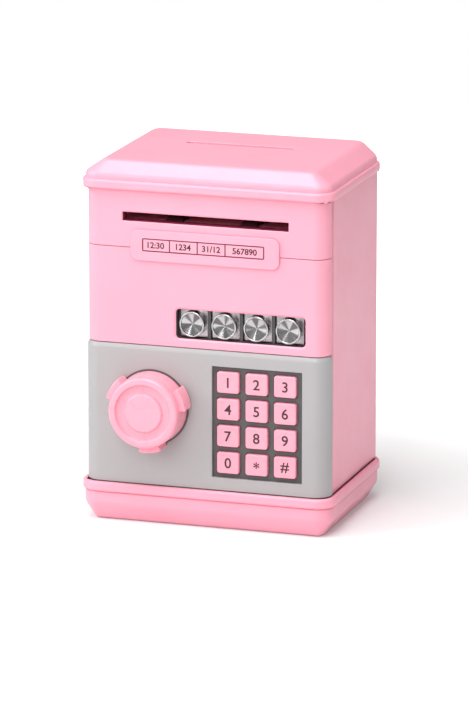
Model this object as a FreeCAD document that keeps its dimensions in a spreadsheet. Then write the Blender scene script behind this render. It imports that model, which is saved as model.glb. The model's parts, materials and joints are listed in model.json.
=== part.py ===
import FreeCAD, Part
import math
import os
import re

import Sketcher
from FreeCAD import Placement, Rotation, Vector

# A toy safe coin bank: a box with a hinged front door, a keypad, a turning knob that throws a bolt,
# a banknote feeder behind the upper slot and a coin slot in the lid.
# Frame: +X to the viewer's right, -Y out of the front, +Z up; origin on the underside, at the middle
# of the box. All lengths are in millimetres.

DIMENSIONS = (
    ("body_width", 130.0, "box, side to side"),
    ("body_depth", 90.0, "box, front to back"),
    ("total_height", 190.0, "whole object"),
    ("front_radius", 7.5, "rounding of the two front corners"),
    ("back_radius", 1.5, "rounding of the two back corners"),
    ("wall", 2.4, "moulded wall"),
    ("base_top", 21.0, "top of the foot"),
    ("base_groove", 15.9, "step below the foot's rim"),
    ("base_overhang", 3.4, "foot's rim beyond the box"),
    ("base_step", 1.2, "foot below the groove, inside its rim"),
    ("rim_radius", 10.0, "corners of the foot and the lid, seen from above"),
    ("lid_bottom", 175.6, "underside of the lid's rim"),
    ("lid_rim", 5.0, "height of the lid's rim"),
    ("lid_overhang", 2.7, "lid's rim beyond the box"),
    ("lid_step", 1.5, "upper part of the lid, inside its rim"),
    ("lid_slope", 6.3, "width of the lid's sloping front edge"),
    ("lid_side_slope", 9.3, "width of the lid's sloping side edges"),
    ("lid_drop", 6.6, "height of the lid's sloping edges"),
    ("brow_radius", 4.0, "corners of the lid's top, seen from above"),
    ("tuck", 2.4, "box walls inside the lid's rim"),
    ("seam", 146.0, "underside of the fixed upper front"),
    ("front_return", 8.6, "how far the front parts wrap back"),
    ("side_start", 11.2, "from the front to the side walls' edge"),
    ("jamb_gap", 10.5, "from the front to the jamb behind the groove"),
    ("jamb_end", 17.0, "from the front to the back of the jamb"),
    ("door_skin", 3.0, "door's wall"),
    ("panel_inset", 1.4, "door skin stepped back behind the grey panel"),
    ("panel_proud", 0.8, "grey panel beyond the door"),
    ("panel_top", 95.1, "top of the grey panel"),
    ("seam_gap", 0.3, "gap round the door"),
    ("hinge_x", 62.5, "hinge axis"),
    ("hinge_y", -39.0, "hinge axis"),
    ("pin_radius", 1.25, "hinge pin"),
    ("run_gap", 0.05, "running clearance on a radius"),
    ("knob_x", -28.6, "knob axis"),
    ("knob_z", 62.7, "knob axis"),
    ("knob_radius", 18.6, "knob's face"),
    ("knob_height", 15.4, "knob's face above the panel"),
    ("lug_reach", 3.3, "finger lugs beyond the knob's face"),
    ("lug_height", 10.6, "finger lugs, front to back"),
    ("lug_foot", 0.6, "finger lugs above the knob's back"),
    ("shaft_radius", 2.5, "knob shaft"),
    ("key_pitch_x", 15.3, "keys, side to side"),
    ("key_pitch_z", 14.15, "keys, up and down"),
    ("key_x", 12.55, "middle of the left keys"),
    ("key_z", 36.2, "middle of the lowest keys"),
    ("key_width", 12.0, "key cap"),
    ("key_height", 11.3, "key cap"),
    ("pad_left", 3.8, "keypad recess"),
    ("pad_right", 52.2, "keypad recess"),
    ("pad_bottom", 28.0, "keypad recess"),
    ("pad_top", 86.8, "keypad recess"),
    ("lamp_x", -7.4, "middle of the left lamp"),
    ("lamp_z", 107.5, "middle of the lamps"),
    ("lamp_pitch", 17.2, "lamps, side to side"),
    ("lamp_radius", 6.7, "lamp cap"),
    ("window_left", -15.8, "lamp window"),
    ("window_right", 53.5, "lamp window"),
    ("window_bottom", 99.8, "lamp window"),
    ("window_top", 115.2, "lamp window"),
    ("note_half", 44.3, "half the banknote slot"),
    ("note_bottom", 159.6, "banknote slot"),
    ("note_top", 164.0, "banknote slot"),
    ("coin_half", 29.5, "half the coin slot"),
    ("coin_width", 4.4, "coin slot"),
    ("coin_y", 14.0, "middle of the coin slot"),
    ("label_half", 39.9, "half the label plate"),
    ("label_bottom", 139.3, "label plate"),
    ("label_top", 155.5, "label plate"),
    ("feed_y", -28.0, "both roller shafts"),
    ("drive_z", 154.5, "driven roller shaft"),
    ("idle_z", 168.9, "pressure roller shaft"),
    ("roller_radius", 7.0, "rollers"),
    ("roller_x", 20.0, "middle of each roller"),
    ("feed_module", 0.6, "feeder's gears"),
    ("latch_module", 0.9, "knob's pinion and the bolt's rack"),
    ("bolt_front", -27.4, "front face of the bolt"),
    ("bolt_thick", 4.0, "bolt, front to back"),
    ("bolt_tip", -53.3, "end of the bolt when drawn back"),
    ("post_x", 57.5, "screw posts of the box"),
    ("post_front", -12.0, "front pair of screw posts"),
    ("post_back", 37.5, "back pair of screw posts"),
    ("battery_x", 27.5, "middle of the battery box"),
    ("cell_radius", 7.15, "battery cell, AA size"),
    ("cell_length", 50.5, "battery cell, AA size"),
    ("cell_pitch", 14.7, "battery cells, side to side"),
)

LATCH_TEETH = 12
DRIVE_TEETH = 30
PINION_TEETH = 10
PRESSURE_ANGLE = math.radians(20)

doc = FreeCAD.newDocument("coin_bank")
sheet = doc.addObject("Spreadsheet::Sheet", "dims")
for row, (alias, size, note) in enumerate(DIMENSIONS, 1):
    sheet.set("A%d" % row, alias)
    sheet.set("B%d" % row, str(size))
    sheet.set("C%d" % row, note)
    sheet.setAlias("B%d" % row, alias)
doc.recompute()

ALIASES = {alias for alias, size, note in DIMENSIONS}
OUTWARD = Rotation(Vector(1, 0, 0), 90)  # local z to -Y, out of the front
ALONG_X = Rotation(Vector(1, 1, 1), 120)  # local x, y, z to Y, Z, X
TURNS = {"x": Rotation(Vector(0, 1, 0), 90), "y": Rotation(Vector(1, 0, 0), -90), "z": Rotation()}
nodes = []


def bound(text):
    # an expression with each alias written as a cell of the sheet
    def cell(word):
        return ("dims." if word.group() in ALIASES else "") + word.group()

    return re.sub(r"[a-z][a-z_]*", cell, str(text))


def number(text):
    return float(sheet.evalExpression(bound(text)))


def bind(feature, prop, text):
    feature.setExpression(prop, bound(text))


def bind_place(feature, x, y, z, turn=None):
    if turn is not None:
        feature.Placement = Placement(Vector(), turn)
    for axis, text in zip("xyz", (x, y, z)):
        bind(feature, "Placement.Base." + axis, text)


def start(label, place=None, turn=None):
    # a new sub-part, whose own frame sits at place
    body = doc.addObject("PartDesign::Body", label)
    body.Label = label
    body.AllowCompound = True
    if place:
        bind_place(body, *place, turn=turn)
    nodes.append(body)
    return body


def block(body, name, x, y, z, cut=False):
    # x, y and z are (low, high) pairs
    kind = "PartDesign::SubtractiveBox" if cut else "PartDesign::AdditiveBox"
    feature = body.newObject(kind, name)
    for prop, axis, (low, high) in zip(("Length", "Width", "Height"), "xyz", (x, y, z)):
        bind(feature, prop, "(%s) - (%s)" % (high, low))
        bind(feature, "Placement.Base." + axis, low)
    return feature


def rod(body, name, axis, centre, span, radius, cut=False):
    # a cylinder along an axis; centre is its place on the other two axes
    kind = "PartDesign::SubtractiveCylinder" if cut else "PartDesign::AdditiveCylinder"
    feature = body.newObject(kind, name)
    place = list(centre)
    place.insert("xyz".index(axis), span[0])
    bind_place(feature, *place, turn=TURNS[axis])
    bind(feature, "Radius", radius)
    bind(feature, "Height", "(%s) - (%s)" % (span[1], span[0]))
    return feature


def sketch_on(body, name, role, level):
    # a sketch on one of the body's own planes, moved along the plane's normal
    sketch = body.newObject("Sketcher::SketchObject", name)
    plane = [f for f in body.Origin.OriginFeatures if f.Role == role][0]
    sketch.AttachmentSupport = [(plane, "")]
    sketch.MapMode = "FlatFace"
    bind(sketch, "AttachmentOffset.Base.z", level)
    return sketch


def fix(sketch, kind, text, *where):
    # a dimension of the sketch, bound to the sheet
    added = sketch.addConstraint(Sketcher.Constraint(kind, *where, number(text)))
    sketch.setExpression("Constraints[%d]" % added, bound(text))


def rounded(body, name, role, level, x, y, radius):
    # a rounded rectangle; x and y are (low, high) pairs in the sketch's plane
    sketch = sketch_on(body, name, role, level)
    (x0, x1), (y0, y1), r = map(number, x), map(number, y), number(radius)
    corners = ((x1 - r, y0 + r), (x1 - r, y1 - r), (x0 + r, y1 - r), (x0 + r, y0 + r))
    ends = (
        ((x0 + r, y0), (x1 - r, y0)),
        ((x1, y0 + r), (x1, y1 - r)),
        ((x1 - r, y1), (x0 + r, y1)),
        ((x0, y1 - r), (x0, y0 + r)),
    )
    for first, last in ends:
        sketch.addGeometry(Part.LineSegment(Vector(*first, 0), Vector(*last, 0)))
    for turn, centre in enumerate(corners):
        circle = Part.Circle(Vector(*centre, 0), Vector(0, 0, 1), r)
        sketch.addGeometry(Part.ArcOfCircle(circle, (turn - 1) * math.pi / 2, turn * math.pi / 2))
    for side in range(4):
        sketch.addConstraint(Sketcher.Constraint("Tangent", side, 2, side + 4, 1))
        sketch.addConstraint(Sketcher.Constraint("Tangent", side + 4, 2, (side + 1) % 4, 1))
        sketch.addConstraint(Sketcher.Constraint("Vertical" if side % 2 else "Horizontal", side))
    for corner in (5, 6, 7):
        sketch.addConstraint(Sketcher.Constraint("Equal", 4, corner))
    fix(sketch, "Radius", radius, 4)
    fix(sketch, "DistanceX", x[0], -1, 1, 3, 1)
    fix(sketch, "DistanceX", x[1], -1, 1, 1, 1)
    fix(sketch, "DistanceY", y[0], -1, 1, 0, 1)
    fix(sketch, "DistanceY", y[1], -1, 1, 2, 1)
    return sketch


def pad(body, name, sketch, length, reverse=False, cut=False):
    feature = body.newObject("PartDesign::Pocket" if cut else "PartDesign::Pad", name)
    feature.Profile = sketch
    feature.Reversed = reverse
    bind(feature, "Length", length)
    return feature


def slab(body, name, x, y, z, radius, cut=False):
    # a rounded rectangle seen from above, between two levels; a pocket runs down, so it starts on top
    level = z[1] if cut else z[0]
    outline = rounded(body, name + "_outline", "XY_Plane", level, x, y, radius)
    return pad(body, name, outline, "(%s) - (%s)" % (z[1], z[0]), cut=cut)


def front_slab(body, name, x, z, y, radius, cut=False):
    # a rounded rectangle seen from the front, between two depths; the plane's normal is -Y
    level = y[0] if cut else y[1]
    outline = rounded(body, name + "_outline", "XZ_Plane", "-(%s)" % level, x, z, radius)
    return pad(body, name, outline, "(%s) - (%s)" % (y[1], y[0]), cut=cut)


def edges_of(body, test):
    doc.recompute()
    return ["Edge%d" % i for i, edge in enumerate(body.Tip.Shape.Edges, 1) if test(edge.BoundBox)]


def soften(body, name, kind, test, **sizes):
    # a fillet or a chamfer on the edges that pass the test
    edges = edges_of(body, test)
    base = body.Tip
    feature = body.newObject("PartDesign::" + kind, name)
    feature.Base = (base, edges)
    if "Size2" in sizes:
        feature.ChamferType = "Two distances"
    for prop, text in sizes.items():
        bind(feature, prop, text)
    return feature


def level_edge(height, reach):
    # edges that lie flat at this height and stand at least this far from the middle
    z, far = number(height), number(reach)

    def test(box):
        flat = abs(box.ZMin - z) < 0.01 and abs(box.ZMax - z) < 0.01
        return flat and max(abs(box.XMin), abs(box.XMax)) > far

    return test


def upright_edge(x, y):
    # upright edges at +x and -x, at this depth
    def test(box):
        upright = box.ZLength > 1 and box.XLength < 0.01 and box.YLength < 0.01
        return upright and abs(abs(box.XMin) - number(x)) < 0.02 and abs(box.YMin - number(y)) < 0.02

    return test


def solid(label, shape, place, turn):
    # a sub-part whose outline no standard feature draws: gear teeth and the bolt's rack
    feature = doc.addObject("Part::Feature", label)
    feature.Label = label
    feature.Shape = shape
    bind_place(feature, *place, turn=turn)
    nodes.append(feature)
    return feature


# ---- outlines of teeth ----

def at(radius, angle):
    return Vector(radius * math.cos(angle), radius * math.sin(angle), 0)


def gear_face(module, teeth, first_tooth, backlash=0.06):
    # an involute gear's outline, with one tooth centred on the angle first_tooth
    pitch = module * teeth / 2
    base, tip, root = pitch * math.cos(PRESSURE_ANGLE), pitch + module, pitch - 1.25 * module
    involute = math.tan(PRESSURE_ANGLE) - PRESSURE_ANGLE

    def half_angle(radius):
        slope = math.acos(min(1.0, base / radius))
        return math.pi / (2 * teeth) - backlash / (2 * pitch) + involute - (math.tan(slope) - slope)

    start_radius = max(base, root)
    radii = [start_radius + (tip - start_radius) * step / 4 for step in range(5)]
    edges = []
    for tooth in range(teeth):
        middle = first_tooth + tooth * 2 * math.pi / teeth
        following = middle + 2 * math.pi / teeth
        rise = [at(r, middle - half_angle(r)) for r in radii]
        fall = [at(r, middle + half_angle(r)) for r in reversed(radii)]
        foot = half_angle(start_radius)
        up, down = Part.BSplineCurve(), Part.BSplineCurve()
        up.interpolate(rise)
        down.interpolate(fall)
        edges += [Part.makeLine(at(root, middle - foot), rise[0])] if root < base else []
        edges.append(up.toShape())
        edges.append(Part.Arc(rise[-1], at(tip, middle), fall[0]).toShape())
        edges.append(down.toShape())
        edges += [Part.makeLine(fall[-1], at(root, middle + foot))] if root < base else []
        valley = (middle + following) / 2
        gap_start = at(root, middle + foot) if root < base else fall[-1]
        gap_end = at(start_radius if root >= base else root, following - foot)
        edges.append(Part.Arc(gap_start, at(root, valley), gap_end).toShape())
    return Part.Face(Part.Wire(Part.__sortEdges__(edges)))


def rack_face(module, teeth, middle, top, left, right):
    # a bar whose lower edge is a rack; the pitch line is at y = 0 and one tooth stands at x = middle
    pitch, lean = math.pi * module, math.tan(PRESSURE_ANGLE)
    tip, root, slack = -module, 1.25 * module, 0.03
    outline = [Vector(right, top, 0), Vector(left, top, 0), Vector(left, root, 0)]
    for tooth in range(teeth):
        centre = middle + (tooth - (teeth - 1) / 2) * pitch
        wide, narrow = pitch / 4 - slack + root * lean, pitch / 4 - slack + tip * lean
        outline += [
            Vector(centre - wide, root, 0),
            Vector(centre - narrow, tip, 0),
            Vector(centre + narrow, tip, 0),
            Vector(centre + wide, root, 0),
        ]
    outline.append(Vector(right, root, 0))
    return Part.Face(Part.makePolygon(outline + outline[:1]))


FRONT = "-body_depth/2"
BACK = "body_depth/2"
HALF = "body_width/2"
SIDES = ("-1", "1")
POSTS = [("post_x*%s" % side, y) for side in SIDES for y in ("post_front", "post_back")]

MOTOR_BACK = 10.5  # the motor's shaft behind the driven roller's
MESH_SLACK = 0.12  # added to the distance between two gears so that they run freely
GEAR_CENTRES = number("feed_module") * (DRIVE_TEETH + PINION_TEETH) / 2 + MESH_SLACK
MOTOR_DROP = math.sqrt(GEAR_CENTRES ** 2 - MOTOR_BACK ** 2)
MOTOR_PLACE = ("feed_y + %.4f" % MOTOR_BACK, "drive_z - %.4f" % MOTOR_DROP)

DOOR_BOTTOM = "base_top + seam_gap + 0.1"
DOOR_TOP = "seam - seam_gap"
DOOR_POSTS = ((-48.5, 30), (-4.5, 30), (-48.5, 134.5), (48.5, 134.5))
TRAY_BACK = "-20"
BOARD_BACK = "-22.3"  # where the posts and the magnet inside the door end, against its tray

KEY_BACK = "-41"
KEY_NAMES = (
    ("key_0", "key_star", "key_hash"),
    ("key_7", "key_8", "key_9"),
    ("key_4", "key_5", "key_6"),
    ("key_1", "key_2", "key_3"),
)

BOLT_TOP = 11.8  # top of the bolt above the knob's axis
BOLT_END = -18.0  # the bolt's inner end
RACK_SLACK = 0.06  # added to the distance between the pinion and the rack
PLUNGER_X = -39.0

LUG_HALF_ANGLE = math.radians(16.5)
LUG_MIDDLE = math.radians(21)
LUG_SPREAD = 256  # degrees from the first lug to the third


# ---- the box ----

def make_base():
    body = start("base")
    low, rim = "base_overhang - base_step", "base_overhang"
    width = ("-%s - (%s)" % (HALF, low), "%s + %s" % (HALF, low))
    depth = ("%s - (%s)" % (FRONT, low), "%s + %s" % (BACK, low))
    slab(body, "lower", width, depth, ("0", "base_groove"), "rim_radius - base_step")
    soften(body, "tuck_under", "Chamfer", level_edge("0", "50"), Size="9.2", Size2="5.6")
    soften(body, "belly", "Fillet", level_edge("9.2", "50"), Radius="5")
    soften(body, "sole_edge", "Fillet", level_edge("0", "50"), Radius="2.5")
    soften(body, "groove_edge", "Fillet", level_edge("base_groove", "50"), Radius="0.8")
    width = ("-%s - %s" % (HALF, rim), "%s + %s" % (HALF, rim))
    depth = ("%s - %s" % (FRONT, rim), "%s + %s" % (BACK, rim))
    slab(body, "rim", width, depth, ("base_groove", "base_top"), "rim_radius")
    outer = level_edge("base_top", HALF + " + 1")
    soften(body, "rim_top", "Fillet", outer, Radius="1.6")
    under = level_edge("base_groove", HALF + " + base_overhang - 1")
    soften(body, "rim_under", "Fillet", under, Radius="0.8")
    inner_x, inner_y = ("-62", "62"), ("-42", "42")
    slab(body, "hollow", inner_x, inner_y, ("3", "base_top - wall"), "6", cut=True)
    slab(body, "mouth", ("-60", "60"), ("-40", "40"), ("base_top - wall - 1", "base_top"), "5", cut=True)
    place = ("hinge_x", "hinge_y")
    rod(body, "hinge_boss", "z", place, ("12", "base_top"), "3.4")
    rod(body, "hinge_hole", "z", place, ("14", "base_top"), "pin_radius + 0.01", cut=True)
    for index, place in enumerate(POSTS):
        rod(body, "tube_%d" % index, "z", place, ("1", "base_top"), "4.2")
        rod(body, "head_hole_%d" % index, "z", place, ("0", "4"), "3.2", cut=True)
        rod(body, "shank_hole_%d" % index, "z", place, ("0", "base_top"), "1.7", cut=True)
    x = ("battery_x - 23.6", "battery_x + 23.6")
    slab(body, "battery_opening", x, ("-29.3", "29.3"), ("0", "3"), "1.5", cut=True)


def make_body_shell():
    body = start("body_shell")
    top = ("base_top", "lid_bottom + tuck")
    slab(body, "outside", ("-" + HALF, HALF), (FRONT, BACK), top, "back_radius")
    inner = ("-%s + wall" % HALF, "%s - wall" % HALF)
    depth = (FRONT + " + wall", BACK + " - wall")
    slab(body, "inside", inner, depth, ("base_top - 1", "lid_bottom + tuck"), "0.6", cut=True)
    wide = ("-%s - 1" % HALF, HALF + " + 1")
    opening = (FRONT + " - 1", FRONT + " + side_start")
    block(body, "open_front", wide, opening, ("0", "total_height"), cut=True)
    edge = upright_edge(HALF, FRONT + " + side_start")
    soften(body, "side_edge", "Fillet", edge, Radius="1.1")
    behind = (FRONT + " + jamb_gap", FRONT + " + jamb_end")
    block(body, "left_jamb", ("-63", "-59"), behind, top)
    block(body, "right_jamb", ("59", "63"), behind, top)
    for index, place in enumerate(POSTS):
        rod(body, "post_%d" % index, "z", place, ("base_top + 2", "base_top + 16"), "5.2")
        rod(body, "foot_%d" % index, "z", place, ("base_top", "base_top + 2"), "5.2")
        rod(body, "post_hole_%d" % index, "z", place, ("base_top", "base_top + 14"), "1.55", cut=True)


def channel(body, z, inset, skin, name):
    # a front wall that wraps round both corners, open at the back
    half, front = "%s - (%s)" % (HALF, inset), "%s + %s" % (FRONT, inset)
    slab(body, name, ("-(%s)" % half, half), (front, FRONT + " + 30"), z, "front_radius - (%s)" % inset)
    half, front = "%s - %s" % (HALF, skin), "%s + %s" % (FRONT, skin)
    radius = "front_radius - (%s)" % skin
    slab(body, name + "_inside", ("-(%s)" % half, half), (front, FRONT + " + 40"), z, radius, cut=True)
    wide = ("-%s - 2" % HALF, HALF + " + 2")
    back = (FRONT + " + front_return", FRONT + " + 50")
    block(body, name + "_back", wide, back, z, cut=True)


def make_upper_front():
    body = start("upper_front")
    channel(body, ("seam", "lid_bottom + tuck"), "0", "door_skin", "front")
    ring = (("-note_half - 2", "note_half + 2"), ("note_bottom - 2", "note_top + 2"))
    front_slab(body, "mouth_frame", *ring, (FRONT + " + 1", FRONT + " + 6.5"), "1")
    slot = (("-note_half", "note_half"), ("note_bottom", "note_top"))
    front_slab(body, "note_slot", *slot, (FRONT, FRONT + " + 6.5"), "0.3", cut=True)
    place = ("hinge_x", "hinge_y")
    rod(body, "hinge_boss", "z", place, ("seam", "seam + 7"), "2.4")
    rod(body, "hinge_hole", "z", place, ("seam", "seam + 6"), "pin_radius + 0.01", cut=True)
    clips = (("left", ("-58.6", "-56.4"), ("-62.5", "-56.4")), ("right", ("56.4", "58.6"), ("56.4", "62.5")))
    tall = ("seam + 12", "seam + 26")
    for side, tab, bridge in clips:
        block(body, side + "_bridge", bridge, (FRONT + " + 4", FRONT + " + 7"), tall)
        block(body, side + "_tab", tab, (FRONT + " + 4", FRONT + " + 20"), tall)


def make_lid():
    body = start("lid_cover")
    rim_top = "lid_bottom + lid_rim"
    half, front = "%s + lid_overhang" % HALF, "%s - lid_overhang" % FRONT
    width, depth = ("-(%s)" % half, half), (front, BACK + " + lid_overhang")
    slab(body, "rim", width, depth, ("lid_bottom", rim_top), "rim_radius")
    soften(body, "rim_top", "Fillet", level_edge(rim_top, "50"), Radius="1.7")
    soften(body, "rim_under", "Fillet", level_edge("lid_bottom", "50"), Radius="1.5")
    half, front = "%s + lid_overhang - lid_step" % HALF, "%s - lid_overhang + lid_step" % FRONT
    back, foot = BACK + " + lid_overhang - lid_step", "total_height - lid_drop"
    width, depth, radius = ("-(%s)" % half, half), (front, back), "rim_radius - lid_step"
    slab(body, "crown", width, depth, (rim_top + " - 2", foot), radius)
    # the top slopes down to the front and to both sides; its back is upright
    foot_outline = rounded(body, "slope_foot_outline", "XY_Plane", foot, width, depth, radius)
    half = "%s - lid_side_slope" % half
    width, depth = ("-(%s)" % half, half), (front + " + lid_slope", back)
    brow_outline = rounded(body, "brow_outline", "XY_Plane", "total_height", width, depth, "brow_radius")
    slope = body.newObject("PartDesign::AdditiveLoft", "slope")
    slope.Profile = foot_outline
    slope.Sections = [brow_outline]
    slope.Ruled = True
    soften(body, "slope_top", "Fillet", level_edge("total_height", "40"), Radius="1.8")
    half = HALF + " + 0.15"
    width, depth = ("-(%s)" % half, half), (FRONT + " - 0.15", BACK + " + 0.15")
    slab(body, "skirt_room", width, depth, ("lid_bottom", "lid_bottom + tuck + 0.1"), "back_radius", cut=True)
    room = (("-62", "62"), ("-42", "42"), ("lid_bottom + 1", "total_height - 7.5"))
    slab(body, "room", *room, "5", cut=True)
    top_room = (("-57.5", "57.5"), ("-37.5", "37.5"), ("total_height - 8.5", "total_height - wall"))
    slab(body, "top_room", *top_room, "4", cut=True)
    slot = (("-coin_half", "coin_half"), ("coin_y - coin_width/2", "coin_y + coin_width/2"))
    slab(body, "coin_slot", *slot, ("total_height - 6", "total_height"), "coin_width/2 - 0.01", cut=True)


def make_vault_floor():
    body = start("vault_floor")
    half = "%s - wall - 0.2" % HALF
    depth = (FRONT + " + side_start", BACK + " - wall - 0.2")
    slab(body, "plate", ("-(%s)" % half, half), depth, ("base_top + 0.1", "base_top + 1.7"), "0.8")
    for index, place in enumerate(POSTS):
        radius = "7.2" if place[1] == "post_back" else "5.5"
        rod(body, "post_room_%d" % index, "z", place, ("base_top", "base_top + 2"), radius, cut=True)
    jamb = (FRONT + " + side_start - 1", FRONT + " + jamb_end + 0.3")
    block(body, "left_jamb_room", ("-70", "-58.7"), jamb, ("base_top", "base_top + 2"), cut=True)
    block(body, "right_jamb_room", ("58.7", "70"), jamb, ("base_top", "base_top + 2"), cut=True)


def make_hinge_pins():
    body = start("hinge_pins")
    place = ("hinge_x", "hinge_y")
    rod(body, "lower_pin", "z", place, ("14.2", "base_top + 7"), "pin_radius")
    rod(body, "upper_pin", "z", place, ("seam - 7", "seam + 5.8"), "pin_radius")


def make_screws(label, axis, places, head, shank, head_radius, shank_radius):
    # identical screws as one group
    body = start(label)
    for index, place in enumerate(places):
        rod(body, "head_%d" % index, axis, place, head, head_radius)
        rod(body, "shank_%d" % index, axis, place, shank, shank_radius)


# ---- the battery box in the foot ----

def make_battery_box():
    body = start("battery_box")
    x = ("battery_x - 25.4", "battery_x + 25.4")
    block(body, "box", x, ("-31", "31"), ("3.1", "base_top - 0.3"))
    x = ("battery_x - 22.8", "battery_x + 22.8")
    block(body, "room", x, ("-28.6", "28.6"), ("3", "base_top - 2"), cut=True)


def make_cells():
    body = start("battery_cells")
    span = ("-cell_length/2", "cell_length/2 - 1.2")
    nub = ("cell_length/2 - 1.2", "cell_length/2")
    for index in range(3):
        place = ("battery_x + cell_pitch*%d" % (index - 1), "10.8")
        rod(body, "cell_%d" % index, "y", (place[0], place[1]), span, "cell_radius")
        rod(body, "nub_%d" % index, "y", (place[0], place[1]), nub, "2.7")


def make_contacts():
    body = start("battery_contacts")
    for index in range(3):
        middle = "battery_x + cell_pitch*%d" % (index - 1)
        x = (middle + " - 5", middle + " + 5")
        block(body, "front_%d" % index, x, ("-28.4", "-28"), ("6", "16"))
        block(body, "rear_%d" % index, x, ("28", "28.4"), ("6", "16"))
        rod(body, "spring_%d" % index, "y", (middle, "10.8"), ("-28", "-cell_length/2 - 0.1"), "2.6")
        rod(body, "pip_%d" % index, "y", (middle, "10.8"), ("cell_length/2 + 0.1", "28"), "1.8")


def make_battery_cover():
    body = start("battery_cover")
    x = ("battery_x - 23.3", "battery_x + 23.3")
    slab(body, "plate", x, ("-29", "29"), ("0.5", "2.7"), "1.2")
    for index in range(6):
        y = "-10 + 4*%d" % index
        grip = ("battery_x - 12", "battery_x + 12")
        block(body, "grip_%d" % index, grip, (y, y + " + 1.6"), ("0.5", "1.1"), cut=True)
    rod(body, "screw_hole", "z", ("battery_x", "24.5"), ("0.5", "2.7"), "1.6", cut=True)
    rod(body, "screw_sink", "z", ("battery_x", "24.5"), ("0.5", "1.6"), "2.9", cut=True)


# ---- the banknote feeder ----

def make_feed_frame():
    body = start("feed_frame")
    depth = ("feed_y - 9.5", "feed_y + 18")
    wide = ("-49", "49")
    block(body, "lower_plate", wide, depth, ("note_bottom - 3", "note_bottom - 1"))
    block(body, "upper_plate", wide, depth, ("note_top + 1", "note_top + 3"))
    for side, x in (("left", ("-49", "-47")), ("right", ("47", "49"))):
        block(body, side + "_cheek", x, depth, ("seam + 1", "idle_z + 5"))
    block(body, "motor_plate", ("47", "49"), ("feed_y + 1", "feed_y + 18"), ("drive_z - 13.5", "seam + 2"))
    for side, x in (("left", ("-62.4", "-48")), ("right", ("48", "62.4"))):
        block(body, side + "_ear", x, ("feed_y + 13", "feed_y + 18"), ("note_bottom - 3", "note_bottom - 1"))
    for index, side in enumerate(SIDES):
        x = ("roller_x*%s - 5" % side, "roller_x*%s + 5" % side)
        gap = ("feed_y - 8", "feed_y + 8")
        block(body, "roller_gap_%d" % index, x, gap, ("note_bottom - 4", "note_top + 4"), cut=True)
    for name, z in (("drive_hole", "drive_z"), ("idle_hole", "idle_z")):
        rod(body, name, "x", ("feed_y", z), ("-50", "50"), "2 + run_gap", cut=True)
    rod(body, "motor_hole", "x", MOTOR_PLACE, ("46", "50"), "2.6", cut=True)


def make_motor():
    body = start("feed_motor")
    rod(body, "can", "x", MOTOR_PLACE, ("26.9", "46.7"), "7.6")
    rod(body, "nose", "x", MOTOR_PLACE, ("46.7", "48.8"), "2.4")
    rod(body, "shaft_room", "x", MOTOR_PLACE, ("26.9", "48.8"), "1.05", cut=True)
    y, z = MOTOR_PLACE
    beside = (y + " - 9", y + " + 9")
    for name, low, high in (("flat_top", "5.9", "9"), ("flat_bottom", "-9", "-5.9")):
        block(body, name, ("26", "50"), beside, (z + " + " + low, z + " + " + high), cut=True)


def make_rollers(label, z, hub):
    body = start(label)
    for index, side in enumerate(SIDES):
        x = ("roller_x*%s - 4" % side, "roller_x*%s + 4" % side)
        rod(body, "tyre_%d" % index, "x", ("feed_y", z), x, "roller_radius - 0.2")
        rod(body, "bore_%d" % index, "x", ("feed_y", z), x, hub, cut=True)


def make_feed_shafts():
    shafts = (("drive_shaft", "drive_z", ("-51", "56")), ("idle_shaft", "idle_z", ("-51", "51")))
    for label, z, span in shafts:
        body = start(label)
        rod(body, "shaft", "x", ("feed_y", z), span, "2")
        for index, side in enumerate(SIDES):
            x = ("roller_x*%s - 4" % side, "roller_x*%s + 4" % side)
            rod(body, "hub_%d" % index, "x", ("feed_y", z), x, "4.5")


def make_feed_gears():
    module = number("feed_module")
    direction = math.atan2(-MOTOR_DROP, MOTOR_BACK)
    gear = gear_face(module, DRIVE_TEETH, direction).extrude(Vector(0, 0, 4))
    gear = gear.cut(Part.makeCylinder(2.01, 6, Vector(0, 0, -1)))
    solid("drive_gear", gear, ("50.4", "feed_y", "drive_z"), ALONG_X)
    facing = direction + math.pi + math.pi / PINION_TEETH
    pinion = gear_face(module, PINION_TEETH, facing).extrude(Vector(0, 0, 4.4))
    pinion = pinion.fuse(Part.makeCylinder(1.0, 22, Vector(0, 0, -20)))
    solid("motor_pinion", pinion.removeSplitter(), ("50.2",) + MOTOR_PLACE, ALONG_X)


# ---- the door ----

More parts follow.
